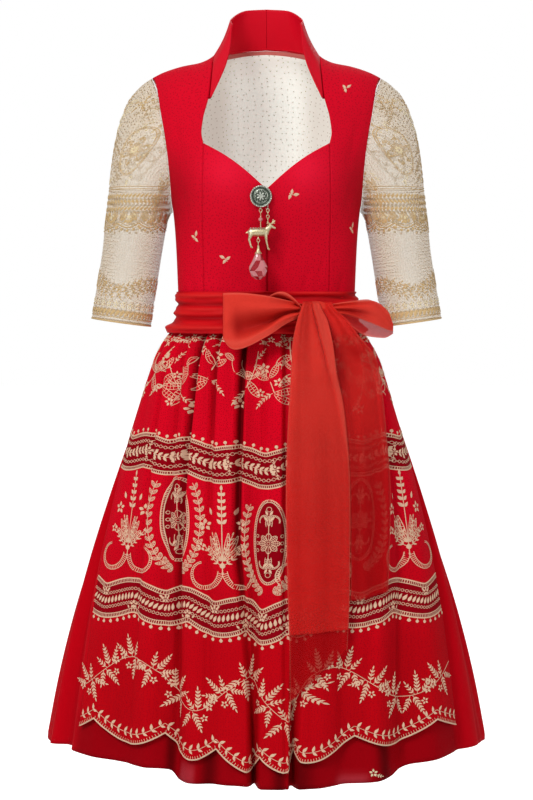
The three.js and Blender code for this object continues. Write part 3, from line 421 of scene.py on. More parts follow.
def shell(name, points, wall, outside, inside=None, closed=False, normals=None, shade=0.0, light=0.0):
    """A thin closed cloth wall under a grid of outer points. Returns the object and its flat size."""
    normals = grid_normals(points, closed) if normals is None else normals
    columns, rows = points.shape[:2]
    both = np.concatenate([points.reshape(-1, 3), (points - normals * wall).reshape(-1, 3)])
    size = flat_size(points, closed)
    across = columns if closed else columns - 1
    i, j, outer_faces = grid_faces(columns, rows, closed)
    under = columns * rows
    turned_over = [0, 3, 2, 1]
    inner_faces = outer_faces[:, turned_over] + under
    share_u = np.stack([i, i + 1, i + 1, i], axis=1) / max(across, 1)
    share_v = np.stack([j, j, j + 1, j + 1], axis=1) / (rows - 1)
    outer_uv = np.stack([share_u * size[0], share_v * size[1]], axis=-1)
    inner_uv = outer_uv[:, turned_over]
    ends = np.arange(across) * rows
    nexts = (np.arange(across) + 1) % columns * rows
    top = rows - 1
    edges = [(nexts, ends), (ends + top, nexts + top)]
    if not closed:
        n = np.arange(rows - 1)
        last = (columns - 1) * rows
        edges += [(n, n + 1), (last + n + 1, last + n)]
    rim = np.concatenate([np.stack([a, b, b + under, a + under], axis=1) for a, b in edges])
    faces = np.concatenate([outer_faces, inner_faces, rim])
    uvs = np.concatenate([outer_uv.reshape(-1, 2), inner_uv.reshape(-1, 2), np.zeros((len(rim) * 4, 2))])
    slots = np.repeat([0, 1, 0], [len(outer_faces), len(inner_faces), len(rim)])
    materials = [outside, inside or outside]
    tones = np.stack([np.broadcast_to(share, (columns, rows)).ravel() for share in (shade, light)], axis=1)
    tones = np.concatenate([tones, tones])
    return new_object(name, both, faces, materials, slots, uvs, tones=tones), size


def grid(columns, rows, u0=0.0, u1=1.0, v1=1.0, closed=False):
    """Two arrays of evenly spaced u and v, v from 0 to v1."""
    u = np.linspace(u0, u1, columns + 1)
    if closed:
        u = u[:-1]
    return np.meshgrid(u, np.linspace(0, v1, rows + 1), indexing="ij")


def turns(count):
    """Evenly spaced angles, once round."""
    return 2 * np.pi * np.arange(count) / count


class Parts:
    """Small solid shapes gathered into one mesh. Each takes the material of its number."""

    def __init__(self):
        self.points, self.faces, self.slots, self.count = [], [], [], 0

    def add(self, points, faces, slot=0):
        points = np.asarray(points, float).reshape(-1, 3)
        self.points.append(points)
        self.faces += [[self.count + corner for corner in face] for face in faces]
        self.slots += list(slot) if np.ndim(slot) else [slot] * len(faces)
        self.count += len(points)

    def rings(self, rings, slot=0, round_path=False):
        """Skins a list of closed rings. slot may give a material for each step between two rings."""
        rings = np.asarray(rings, float)
        rows, sides = rings.shape[:2]
        faces, slots = [], []
        for row in range(rows if round_path else rows - 1):
            after = (row + 1) % rows
            for n in range(sides):
                m = (n + 1) % sides
                faces.append([row * sides + n, row * sides + m, after * sides + m, after * sides + n])
                slots.append(slot[row] if np.ndim(slot) else slot)
        self.add(rings, faces, slots)

    def tube(self, path, radii, sides=10, slot=0, closed=False):
        """A round bar along a path; its radius may change along it."""
        path = np.asarray(path, float)
        radii = np.broadcast_to(np.asarray(radii, float), len(path))[:, None, None]
        round_run = np.roll(path, -1, axis=0) - np.roll(path, 1, axis=0)
        run = unit(round_run if closed else np.gradient(path, axis=0))
        spread = np.abs(run).max(axis=0)
        side = unit(np.cross(run, np.eye(3)[int(np.argmin(spread))]))
        up = np.cross(side, run)
        turn = turns(sides)[None, :, None]
        rings = path[:, None] + radii * (np.cos(turn) * side[:, None] - np.sin(turn) * up[:, None])
        self.rings(rings, slot, closed)

    def limb(self, start, end, start_radius, end_radius, slot=0):
        """A tapering bar with rounded ends."""
        start, end = np.array(start, float), np.array(end, float)
        heading = unit(end - start)
        reaches, shares = (0.95, 0.75, 0.4, 0), (0.1, 0.66, 0.92, 1)
        path = [start - heading * start_radius * reach for reach in reaches]
        path += [end + heading * end_radius * reach for reach in reaches[::-1]]
        radii = [start_radius * share for share in shares] + [end_radius * share for share in shares[::-1]]
        self.tube(path, radii, 12, slot)

    def ball(self, centre, radii, slot=0, sides=10):
        """A ball or a flattened one, by its radii along x, y and z."""
        rise = np.linspace(-np.pi / 2, np.pi / 2, sides // 2 + 2)[:, None]
        turn = turns(sides)[None, :]
        shape = stack(np.cos(rise) * np.cos(turn), np.cos(rise) * np.sin(turn), np.sin(rise))
        self.rings(shape * np.broadcast_to(radii, 3) + np.array(centre, float), slot)

    def turned(self, profile, centre, towards, sides=48, slot=0):
        """A turned shape from rows of (radius, height), its height running towards "-y" or "-z"."""
        turn = turns(sides)[None, :]
        radius, height = (np.array(column, float)[:, None] for column in zip(*profile))
        across, other = radius * np.cos(turn), radius * np.sin(turn)
        shape = stack(across, -height, other) if towards == "-y" else stack(across, -other, -height)
        self.rings(shape + np.array(centre, float), slot)

    def made(self, name, materials, smooth_faces=True):
        return new_object(name, np.concatenate(self.points), self.faces, materials, self.slots,
                          smooth_faces=smooth_faces)


# ---- Shader groups
def srgb(colour):
    """Linear colour of a red, green and blue of 0 to 255 on a screen."""
    shares = [value / 255 for value in colour]
    return (*(x / 12.92 if x <= 0.04045 else ((x + 0.055) / 1.055) ** 2.4 for x in shares), 1.0)


def feed(tree, made, inputs):
    """Links a node's inputs to other sockets, or sets their values."""
    for key, value in inputs.items():
        if isinstance(value, bpy.types.NodeSocket):
            tree.links.new(value, made.inputs[key])
        else:
            made.inputs[key].default_value = value


def node(tree, kind, inputs=(), **settings):
    made = tree.nodes.new(kind)
    for name, value in settings.items():
        setattr(made, name, value)
    feed(tree, made, dict(inputs))
    return made


def math_node(tree, operation, *values, clamp=False):
    made = node(tree, "ShaderNodeMath", dict(enumerate(values)), operation=operation, use_clamp=clamp)
    return made.outputs[0]


def noise(tree, scale, detail=2.0):
    """Cloudy drifts over the piece."""
    inputs = {"Vector": node(tree, "ShaderNodeTexCoord").outputs["Object"], "Scale": scale, "Detail": detail}
    return node(tree, "ShaderNodeTexNoise", inputs).outputs["Fac"]


def bumped(tree, height, distance, strength):
    """A surface normal that follows a height."""
    inputs = {"Height": height, "Distance": distance, "Strength": strength}
    return node(tree, "ShaderNodeBump", inputs).outputs["Normal"]


def mix_colour(tree, factor, a, b):
    made = node(tree, "ShaderNodeMix", {0: factor, 6: a, 7: b}, data_type="RGBA")
    return made.outputs[2]


def shader_group(name, inputs, outputs):
    """An empty node group with named value ('f') and colour ('c') sockets."""
    kinds = {"f": "NodeSocketFloat", "c": "NodeSocketColor"}
    tree = bpy.data.node_groups.new(name, "ShaderNodeTree")
    for socket, kind in inputs.items():
        tree.interface.new_socket(socket, in_out="INPUT", socket_type=kinds[kind])
    for socket, kind in outputs.items():
        tree.interface.new_socket(socket, in_out="OUTPUT", socket_type=kinds[kind])
    return tree, tree.nodes.new("NodeGroupInput"), tree.nodes.new("NodeGroupOutput")


def weave_group():
    """Crossed threads: their height, and a mask of the gaps between them."""
    tree, given, made = shader_group("woven_threads", {"Threads": "f"}, {"Height": "f", "Gap": "f"})
    uv = node(tree, "ShaderNodeTexCoord").outputs["UV"]
    waves = []
    for direction in ("X", "Y"):
        wave = node(
            tree, "ShaderNodeTexWave",
            {"Vector": uv, "Scale": given.outputs["Threads"], "Distortion": 0.6, "Detail": 1.0,
             "Detail Scale": 0.4},
            wave_type="BANDS", bands_direction=direction, wave_profile="SIN",
        )
        waves.append(wave.outputs["Fac"])
    feed(tree, made, {
        "Height": math_node(tree, "MAXIMUM", *waves),
        "Gap": math_node(tree, "MULTIPLY", *waves),
    })
    return tree


def tone_group():
    """Cloth is never one flat colour: broad and fine drifts, lighter and darker, in the dye."""
    tree, given, made = shader_group("dye_drift", {"Colour": "c", "Drift": "f"}, {"Colour": "c"})
    both = math_node(tree, "ADD", noise(tree, 9.0), noise(tree, 420.0))
    away = math_node(tree, "MULTIPLY", math_node(tree, "SUBTRACT", both, 1.0), given.outputs["Drift"])
    value = math_node(tree, "ADD", away, 1.0)
    shifted = node(tree, "ShaderNodeHueSaturation", {"Value": value, "Color": given.outputs["Colour"]})
    tree.links.new(shifted.outputs["Color"], made.inputs["Colour"])
    return tree


def spots_group():
    """Small dots, a little uneven, strewn over the cut cloth."""
    tree, given, made = shader_group("pin_dots", {"Dots": "f", "Size": "f", "Uneven": "f"}, {"Mask": "f"})
    uv = node(tree, "ShaderNodeTexCoord").outputs["UV"]
    cells = node(
        tree, "ShaderNodeTexVoronoi",
        {"Vector": uv, "Scale": given.outputs["Dots"], "Randomness": given.outputs["Uneven"]},
        voronoi_dimensions="2D",
    )
    inside = math_node(tree, "LESS_THAN", cells.outputs["Distance"], given.outputs["Size"])
    tree.links.new(inside, made.inputs["Mask"])
    return tree


def fade_group():
    """From one colour to another between two heights of the dress."""
    inputs = {"Above": "c", "Below": "c", "Top": "f", "Low": "f"}
    tree, given, made = shader_group("fade_by_height", inputs, {"Colour": "c"})
    place = node(tree, "ShaderNodeTexCoord").outputs["Object"]
    height = node(tree, "ShaderNodeSeparateXYZ", {0: place}).outputs["Z"]
    share = node(
        tree, "ShaderNodeMapRange",
        {"Value": height, "From Min": given.outputs["Top"], "From Max": given.outputs["Low"]},
        interpolation_type="SMOOTHSTEP",
    )
    mixed = mix_colour(tree, share.outputs["Result"], given.outputs["Above"], given.outputs["Below"])
    tree.links.new(mixed, made.inputs["Colour"])
    return tree


WEAVE = weave_group()
TONE = tone_group()
SPOTS = spots_group()
FADE = fade_group()


def placed(tree, kind, inputs):
    """One of the shader groups above, put into a material."""
    return node(tree, "ShaderNodeGroup", inputs, node_tree=kind)


def new_material(name):
    """A material with its node tree and its shader node."""
    material = bpy.data.materials.new(name)
    material.use_nodes = True
    return material, material.node_tree, material.node_tree.nodes["Principled BSDF"]


def toned(tree, base, tones):
    """The base colour turned to the shade's and the light's colour by the piece's own map of them."""
    place = node(tree, "ShaderNodeUVMap", uv_map="tones").outputs["UV"]
    shares = node(tree, "ShaderNodeSeparateXYZ", {0: place})
    shaded = mix_colour(tree, shares.outputs["X"], base, srgb(tones[0]))
    return mix_colour(tree, shares.outputs["Y"], shaded, srgb(tones[1]))


def cloth_material(
    name, colour, roughness=0.7, threads=900.0, relief=0.0002, drift=0.12, dots=None, alpha=None,
    specular=0.1, fade=None, glow=0.0, tones=None,
):
    """Woven cloth. dots is (colour, dots per metre, size, unevenness); alpha is (gap, thread) opacity; fade
    is (lower colour, height where it starts, height where it ends); the glow is painted light: the cloth
    gives off light of its own colour as if light reached it or came through; tones are the colours of its
    painted shade and of its painted light."""
    material, tree, shader = new_material(name)
    weave = placed(tree, WEAVE, {"Threads": threads})
    base = srgb(colour)
    if fade:
        lower, top, low = fade
        heights = {"Above": base, "Below": srgb(lower), "Top": top, "Low": low}
        base = placed(tree, FADE, heights).outputs["Colour"]
    base = placed(tree, TONE, {"Colour": base, "Drift": drift}).outputs["Colour"]
    if dots:
        dot_colour, count, size, uneven = dots
        mask = placed(tree, SPOTS, {"Dots": count, "Size": size, "Uneven": uneven}).outputs["Mask"]
        base = mix_colour(tree, mask, base, srgb(dot_colour))
    if tones:
        base = toned(tree, base, tones)
    feed(tree, shader, {
        "Base Color": base,
        "Roughness": math_node(tree, "MULTIPLY_ADD", weave.outputs["Gap"], 0.15, roughness - 0.05),
        "Normal": bumped(tree, weave.outputs["Height"], relief, 0.6),
        "Specular IOR Level": specular,
    })
    if glow:
        feed(tree, shader, {"Emission Color": base, "Emission Strength": glow})
    if alpha:
        gap, thread = alpha
        spread = math_node(tree, "MULTIPLY_ADD", weave.outputs["Height"], thread - gap, gap, clamp=True)
        if dots:
            spread = math_node(tree, "MAXIMUM", spread, mask)
        tree.links.new(spread, shader.inputs["Alpha"])
    return material


def metal_material(name, colour, dark, roughness):
    """Cast metal, darker and rougher in uneven patches."""
    material, tree, shader = new_material(name)
    grime = noise(tree, 900.0, 4.0)
    ramp = math_node(tree, "MULTIPLY", math_node(tree, "SUBTRACT", grime, 0.42), 5.0, clamp=True)
    feed(tree, shader, {
        "Base Color": mix_colour(tree, ramp, srgb(dark), srgb(colour)),
        "Roughness": math_node(tree, "SUBTRACT", roughness + 0.2, math_node(tree, "MULTIPLY", ramp, 0.2)),
        "Normal": bumped(tree, grime, 0.0004, 0.5),
        "Metallic": 1.0,
    })
    return material


def crystal_material(name, colour, transmission, roughness):
    """Cut glass with a faint cloudiness."""
    material, tree, shader = new_material(name)
    feed(tree, shader, {
        "Base Color": srgb(colour),
        "Roughness": math_node(tree, "MULTIPLY_ADD", noise(tree, 220.0), 0.06, roughness),
        "Transmission Weight": transmission,
        "IOR": 1.6,
    })
    return material


# ---- Finishes
RED_JACQUARD = cloth_material(
    "red_jacquard", (224, 0, 36), 0.8, threads=700, drift=0.14,
    dots=((188, 0, 30), 190, 0.17, 0.8), tones=((150, 0, 18), (250, 26, 62)),
)
JACQUARD_BACK = cloth_material("jacquard_wrong_side", (214, 120, 112), 0.85, drift=0.1)
COLLAR_SATIN = cloth_material(
    "collar_satin", (222, 0, 34), 0.6, threads=1500, relief=0.0001, drift=0.08, specular=0.15,
)
# Skirt tones: painted shade in its folds, and the paler colour of the hem's facing.
SKIRT_SATIN = cloth_material(
    "skirt_cloth", (204, 0, 20), 0.65, threads=1400, relief=0.0001, drift=0.1, specular=0.03,
    tones=((84, 0, 4), (190, 62, 74)),
)
SKIRT_WRONG_SIDE = cloth_material("skirt_wrong_side", (150, 12, 28), 0.8, drift=0.1)
APRON_RED = cloth_material(
    "apron_cloth", (226, 0, 32), 0.75, drift=0.2, dots=((172, 0, 22), 230, 0.16, 0.7),
    specular=0.05, fade=((198, 0, 16), -0.62, -0.95), tones=((62, 0, 4), (236, 20, 50)),
)
SASH_ORGANZA = cloth_material(
    "sash_folds", (214, 6, 20), 0.6, threads=1600, relief=0.0001, drift=0.14, specular=0.12,
    tones=((120, 0, 10), (226, 60, 50)),
)


def organza(name, colour, gap, thread, drift=0.12, **more):
    """Sheer crisp cloth of the bow and its tails, with the opacity of its gaps and of its threads."""
    tones = ((168, 0, 10), (250, 118, 98))
    return cloth_material(
        name, colour, 0.6, threads=1600, relief=0.0001, drift=drift, alpha=(gap, thread), tones=tones, **more
    )


ORGANZA = organza("bow_organza", (240, 62, 48), 0.78, 0.88)
# A darker copy of the bow's organza: painted shade inside the big loop.
ORGANZA_IN_PAINTED_SHADE = organza("bow_organza_in_painted_shade", (196, 10, 18), 0.76, 0.88)
# The small loop's sheer back glows a little: painted light through the sheer cloth.
SHEER_ORGANZA = organza("sheer_organza", (210, 50, 50), 0.58, 0.72, drift=0.2, glow=0.12)
# The long tail's upper layer is a brighter orange copy: partly its second layer, partly painted sheen.
# The tails fade darker downwards: partly their doubled upper parts, partly painted light from above.
TAIL_ORGANZA = organza(
    "tail_organza", (244, 62, 50), 0.44, 0.56, drift=0.26, fade=((226, 32, 28), -0.44, -0.8),
)
TAIL_SINGLE = organza(
    "tail_single_layer", (208, 4, 14), 0.38, 0.46, drift=0.14, fade=((192, 0, 8), -0.44, -0.8),
)
SHORT_TAIL = organza(
    "short_tail_organza", (240, 46, 40), 0.46, 0.58, drift=0.26, fade=((196, 0, 8), -0.42, -0.72),
)
TULLE = cloth_material(
    "sleeve_tulle", (228, 204, 160), 0.85, threads=420, drift=0.08,
    dots=((150, 118, 90), 190, 0.11, 0.6), alpha=(0.15, 0.32),
    tones=((150, 100, 68), (250, 242, 226)),
)
# The lining glows a little, painted light falling in at the neck; its shade towards sides and neck is
# painted.
LINING = cloth_material(
    "back_lining", (240, 248, 240), 0.9, threads=800, drift=0.05,
    dots=((176, 178, 164), 125, 0.12, 0.6), glow=0.42, tones=((186, 178, 166), (255, 255, 252)),
)
SHEER_RED = cloth_material("sheer_red_ground", (150, 0, 18), threads=1300, drift=0.15, specular=0.03)


def thread_material(name, colour, roughness, drift):
    """Embroidery thread; its own lines run across the strips that are laid."""
    return cloth_material(name, colour, roughness, threads=2.2, relief=0.0003, drift=drift, specular=0.3)


CREAM_THREAD = thread_material("cream_thread", (242, 202, 170), 0.6, 0.14)
GOLD_THREAD = thread_material("gold_thread", (220, 186, 132), 0.55, 0.3)
PALE_GOLD_THREAD = thread_material("pale_gold_thread", (246, 228, 188), 0.55, 0.2)
SEAM_SHADOW = cloth_material("seam_shadow", (156, 0, 16), 0.9, specular=0.0)
PEWTER = metal_material("pewter", (222, 226, 214), (112, 122, 110), 0.3)
PEWTER_DARK = metal_material("pewter_hollow", (120, 130, 116), (46, 56, 48), 0.45)
BRIGHT_PEWTER = metal_material("bright_pewter", (250, 250, 242), (186, 192, 180), 0.24)
GILT = metal_material("gilt", (255, 246, 218), (206, 186, 132), 0.3)
# On the drop, pale and dark copies of one pink glass are painted reflections; the bead is of the pale one.
PALE_FACET = crystal_material("pale_crystal_facet", (250, 176, 178), 0.5, 0.06)
DARK_REFLECTION_FACET = crystal_material("crystal_facet_dark_reflection", (204, 36, 56), 0.75, 0.02)


# ---- Cloth pieces
def dress_piece(piece, slot, *nodes, body="dress"):
    """Every piece rides on its body and may stand for CAD nodes, which it hides; slot is not used."""
    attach(piece, body)
    if nodes:
        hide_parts(*nodes)
    return piece


def dress_sheet(made, slot, nodes, held, rests_on):
    """Finishes a cloth that shell() made: its body and CAD nodes; slot is not used."""
    piece, size = made
    dress_piece(piece, slot, *nodes)
    list(rests_on)
    return piece


def body_normals(points, normals):
    """Near the shoulder line the wall stands straight up instead of following the sharp ridge."""
    lift = smooth(shoulder_rounding(points[..., 0], points[..., 2], ROUNDING_BACK) / 0.35)[..., None]
    return unit(normals * lift + np.array([0, 0, 1.0]) * (1 - lift))


def centre_front(u, v):
    """Angle and height on the centre front: u from the opening to the princess seam, v upwards."""
    edge_x, seam_z = curves(PRINCESS_EDGE, "x z", v * PRINCESS_TOP)
    seam_x = edge_x - SEAM / 2
    opening_z = mix(BODICE_FOOT_Z, CENTRE_NECK_Z, v)
    z = mix(opening_z, seam_z, u) + NECK_BOW * np.sin(np.pi * u) * v**3
    return angle_at(mix(SEAM / 2, seam_x, u), z), z


def arm_side(v, back=False):
    """The side seam and, above it, the armhole's edge."""
    under = ARM_EDGE[0]
    edge_x, edge_z = curves(ARM_EDGE, "x z", v)
    below = v <= under["v"]
    z = np.where(below, mix(BODICE_FOOT_Z, under["z"], v / under["v"]), edge_z)
    return np.where(below, np.pi / 2, angle_at(edge_x, edge_z, back)), z


def side_front(u, v):
    """The side front: u from the princess seam or the neck to the side, v up to the shoulder."""
    seam, neck = curves(PRINCESS_EDGE, "x z", v), curves(NECK_EDGE, "x z", v)
    inner_x, inner_z = (np.where(v <= PRINCESS_TOP, low, high) for low, high in zip(seam, neck))
    outer_angle, outer_z = arm_side(v)
    angle = mix(angle_at(inner_x + SEAM / 2, inner_z), outer_angle, u)
    z = mix(inner_z, outer_z, u)
    x = np.abs(body_point(angle, z)[..., 0])
    z = z + (curve(SHOULDER, "z", x) - z) * v**12
    return angle, z


def back_panel(u, v):
    """The back in one piece, from side seam to side seam."""
    towards = 1 - np.abs(2 * u - 1)
    edge_angle, edge_z = arm_side(v, back=True)
    angle = mix(edge_angle, np.pi, towards)
    x = np.abs(body_point(angle, edge_z)[..., 0])
    top_z = np.where(x < NECK_SIDE, curve(BACK_NECK, "z", x), curve(SHOULDER, "z", x))
    rise = (top_z - ARM_EDGE[-1]["z"]) * smooth((v - 0.3) / 0.7) * (towards > 0)
    return np.where(u < 0.5, angle, 2 * np.pi - angle), edge_z + rise


# Place across and up, half width, half height and depth of each crease.
BODICE_CREASES = [
    (128, -215, 9, 42, 1.6), (116, -352, 8, 40, 1.3), (60, -350, 9, 45, 1.2), (30, -300, 8, 50, 0.9),
    (135, -130, 10, 60, 1.5), (84, -330, 6, 34, 1.0),
]
CREASE_LEAN = 0.25
BACK_CREASES = 0.6


def bodice_creases(points, normals):
    """Soft creases: drag lines under the arms and above the sash."""
    x, z = np.abs(points[..., 0]), points[..., 2]
    depth = 0
    for place_x, place_z, wide, tall, deep in BODICE_CREASES:
        across, up = x - place_x, z - place_z
        depth = depth + deep * bump((across - CREASE_LEAN * up) / wide) * bump(up / tall)
    in_front = points[..., 1] < 0
    return points - normals * np.where(in_front, depth, depth * BACK_CREASES)[..., None]


def bodice_tones(points):
    """Shade at the armholes and between the cups, light on the bust."""
    x, y, z = np.abs(points[..., 0]), points[..., 1], points[..., 2]
    shade = 0.45 * bump((x - 146) / 50) * bump((z + 205) / 90)
    shade = shade + np.where(y < 0, 0.5 * hill(x / 20, (z + 272) / 55), 0)
    light = np.where(y < 0, 0.55 * hill((x - 60) / 36, (z + 176) / 40), 0)
    return np.clip(shade, 0, 1), light


def lining_shade(points):
    """Shade towards the sides and the neck of the lining."""
    x, z = np.abs(points[..., 0]), points[..., 2]
    return np.clip(0.55 * smooth((x - 42) / 40) + 0.4 * smooth((z + 26) / 50), 0, 1)


def bodice_shell(
    name, place, columns, rows, outside, inside, out=0.0, wall=WALL["bodice"], side=1, edge=1.0,
):
    """One wall of the bodice on its form. side -1 mirrors it; edge is how far up it goes."""
    u, v = grid(columns, rows, v1=edge)
    angle, z = place(u if side > 0 else 1 - u, v)
    points = body_point(side * angle, z)
    normals = body_normals(points, grid_normals(points))
    points = bodice_creases(points, normals) + normals * out
    shade, light = (lining_shade(points), 0.0) if outside is LINING else bodice_tones(points)
    return shell(name, points, wall, outside, inside, normals=normals, shade=shade, light=light)


def tape_behind(edge, first, last):
    """The place of a narrow tape behind a seam edge of the bodice."""
    def place(u, v):
        x, z = curves(edge, "x z", mix(first, last, v))
        return angle_at(x + mix(-1.5, 4, u), z), z
    return place


def opening_tape(u, v):
    """The place of the tape behind the front opening."""
    z = mix(WAIST_Z + 1, CENTRE_NECK_Z - 5, v)
    return angle_at(mix(-3.5, 3.5, u), z), z


def make_seam_tapes():
    """Tapes behind the princess seams, the collar's seam and the front opening, so that all are shut. Their
    darker red is painted shade seen through the seams' gaps.
    """
    tapes = [("front_opening_tape", opening_tape, 1)]
    for side, label in SIDES:
        tapes.append(("princess_tape_" + label, tape_behind(PRINCESS_EDGE, 0, PRINCESS_TOP), side))
        tapes.append(("collar_tape_" + label, tape_behind(NECK_EDGE, COLLAR_END, 0.97), side))
    for name, place, side in tapes:
        inside = -(WALL["bodice"] + TAPE_GAP)
        made = bodice_shell(
            name, place, 4, 40, SEAM_SHADOW, None, out=inside, wall=WALL["tape"], side=side,
        )
        yield dress_piece(made[0], "bodice_jacquard")
    x = np.linspace(NECK_SIDE + 1, ARM_EDGE[-1]["x"] - 1, 30)
    for side, label in SIDES:
        cord = Parts()
        cord.tube(stack(side * x, SHOULDER_SEAM_Y, curve(SHOULDER, "z", x) - 2.3), 1.2, 8)
        yield dress_piece(cord.made("shoulder_tape_" + label, [RED_JACQUARD]), "bodice_jacquard")


def make_bodice():
    tapes = list(make_seam_tapes())
    cloths = (RED_JACQUARD, JACQUARD_BACK)
    for side, label in SIDES:
        centre, flank = "centre_front_" + label, "side_front_" + label
        made = bodice_shell(centre, centre_front, 40, 70, *cloths, side=side)
        dress_sheet(made, "bodice_jacquard", ["bodice_" + centre], "stretched", ["bodice_" + flank])
        made = bodice_shell(flank, side_front, 36, 110, *cloths, side=side)
        dress_sheet(made, "bodice_jacquard", ["bodice_" + flank], "stretched", ["collar"])
    back = bodice_shell("back", back_panel, 80, 64, *cloths)
    dress_sheet(back, "bodice_jacquard", ["bodice_back"], "stretched", ["collar"])
    lining = bodice_shell(
        "lining_of_the_back", back_panel, 80, 64, LINING, LINING,
        out=-(WALL["bodice"] + LINING_GAP), wall=WALL["lining"], edge=0.985,
    )
    dress_sheet(lining, "lining_cotton", ["back_lining"], "hung", ["bodice_back"])


def collar_foot(u):
    """The line that the collar stands on: u 0 at the middle of the back, 1 at the collar's front end."""
    turn = np.clip(u / COLLAR_BACK_U, 0, 1)
    back_x = NECK_SIDE * np.sin(np.pi / 2 * turn)
    back_z = curve(BACK_NECK, "z", back_x)
    behind = body_point(angle_at(back_x, back_z, back=True), back_z)
    v = mix(1, COLLAR_END, np.clip((u - COLLAR_BACK_U) / (1 - COLLAR_BACK_U), 0, 1))
    front_x, front_z = curves(NECK_EDGE, "x z", v)
    ahead = body_point(angle_at(front_x, front_z), front_z)
    return np.where((u <= COLLAR_BACK_U)[..., None], behind, ahead)


def collar_point(u, v):
    """A point of the collar: u from its left end round the back to its right end, v upwards."""
    along = np.abs(1 - 2 * u)
    foot = collar_foot(along)
    top = stack(*curves(COLLAR_TOP, "x y z", along))
    height = np.linalg.norm(top - foot, axis=-1)
    low = 0.4 / np.maximum(height, 6)
    p = foot + (top - foot) * mix(low, 1, v)[..., None]
    hollow = 3 * np.sin(np.pi * v) * np.clip(height / 50, 0, 1)
    p[..., 0] *= (1 - hollow / 80) * np.where(u < 0.5, 1, -1)
    return p


def make_collar():
    u, v = grid(150, 18, u0=0.004, u1=0.996)
    collar = shell("stand_collar", collar_point(u, v), WALL["collar"], COLLAR_SATIN)
    seam, piping = Parts(), Parts()
    rise = np.linspace(0.05, 0.985, 12)
    seam.tube(collar_point(np.full(12, 0.5), rise) - [0, 2.3, 0], 0.35, 6)
    foot = collar_point(np.linspace(0.3, 0.7, 40), np.full(40, 0.03))
    piping.tube(foot - [0, 2.6, 0], 0.9, 8)
    trim = [seam.made("centre_back_seam", [SEAM_SHADOW]), piping.made("neck_piping", [COLLAR_SATIN])]
    for piece in trim:
        dress_piece(piece, "collar_silk")
    dress_sheet(collar, "collar_silk", ["collar"], "stretched", ["bodice_back"])


def armhole(t):
    """The armhole's edge: t runs round from the underarm over the front."""
    share = 1 - np.abs(2 * t - 1)
    v = mix(ARM_EDGE[0]["v"], 1, smooth(share) * 0.4 + share * 0.6)
    front_angle, front_z = arm_side(v)
    back_angle, back_z = arm_side(v, back=True)
    behind = t > 0.5
    return body_point(np.where(behind, back_angle, front_angle), np.where(behind, back_z, front_z))


def sleeve_ring(t, z):
    """The sleeve's lower part, an oval tube, its rings a little tilted."""
    turn = 2 * np.pi * t
    x, y, across, deep = curves(SLEEVE, "x y across deep", z)
    dx = -across * np.cos(turn)
    return stack(x + dx, y - deep * np.sin(turn), z + SLEEVE_TILT * dx)


def sleeve_point(t, v):
    """t runs round from the underarm over the front, v from the armhole to the cuff."""
    below_cap = np.clip((v - CAP_SHARE) / (1 - CAP_SHARE), 0, 1)
    lower = sleeve_ring(t, mix(SLEEVE[0]["z"], SLEEVE[-1]["z"], below_cap))
    top = (1 - np.cos(2 * np.pi * t)) / 2
    leave = unit(stack(1.0, -0.12 * np.sin(2 * np.pi * t), mix(-0.9, -0.52, top)))
    start = armhole(t) + leave
    end = sleeve_ring(t, np.full_like(t, SLEEVE[0]["z"]))
    reach = np.linalg.norm(end - start, axis=-1, keepdims=True)
    down = unit(np.array([SLEEVE_TILT, 0, -1.0]))
    first, second = start + leave * reach * 0.3, end - down * reach * 0.42
    w = np.clip(v / CAP_SHARE, 0, 1)[..., None]
    cap = start * (1 - w) ** 3 + first * 3 * w * (1 - w) ** 2 + second * 3 * w**2 * (1 - w) + end * w**3
    return np.where((v > CAP_SHARE)[..., None], lower, cap)


def sleeve_surface(side):
    """A function of (t, v) for one sleeve."""
    def place(t, v):
        p = sleeve_point(np.mod(t, 1.0), v)
        p[..., 0] *= side
        return p
    return place


def make_sleeves():
    for side, label in SIDES:
        stitches = embroider_sleeve(side, label)
        u, v = grid(80, 66, closed=True)
        t = u if side > 0 else 1 - u
        # Painted shade at the sleeve's inner sides and painted light down the middle of its front.
        shade = 0.8 * (bump(t / 0.17) + bump((1 - t) / 0.17))
        light = 0.6 * bump((t - 0.27) / 0.14)
        points = sleeve_surface(side)(t, 1 - v)
        sleeve = shell(
            "net_sleeve_" + label, points, WALL["sleeve"], TULLE, closed=True, shade=shade, light=light,
        )
        shoulder = ["bodice_side_front_" + label]
        dress_sheet(sleeve, "sleeve_tulle", ["sleeve_" + label], "hung", shoulder)


# Deeper shade under the apron's edge: grain line and half width.
HEM_SHADE = [(1.05, 0.12), (1.86, 0.26), (2.66, 0.14), (3.35, 0.2), (4.3, 0.42), (5.35, 0.16)]
# Where the hem's paler facing shows: grain line, half width and upper edge.
TURNED_UP = [(1.42, 0.26, -1050), (4.98, 0.26, -1066)]
# Grain lines of the two side seams.
SEAM_RIGHT = -1.69
SEAM_LEFT = 7.74


def skirt_tones(s, z):
    """Painted shade in the folds and under the apron's edge, and the paler facing's own colour where it
    shows, put in through the light share.
    """
    light = 0
    for place, wide, top in TURNED_UP:
        light = light + 0.5 * smooth(1.6 * bump((s - place) / wide)) * smooth((top - z) / 12)
    under_apron = smooth((s - APRON_LEFT) / 0.3 + 1) * smooth((APRON_RIGHT - s) / 0.3 + 1)
    hem_share = 0.5 + sum(0.4 * bump((s - place) / wide) for place, wide in HEM_SHADE)
    return np.maximum(fold_shade(s, z), hem_share * under_apron * smooth((-965 - z) / 60)), light


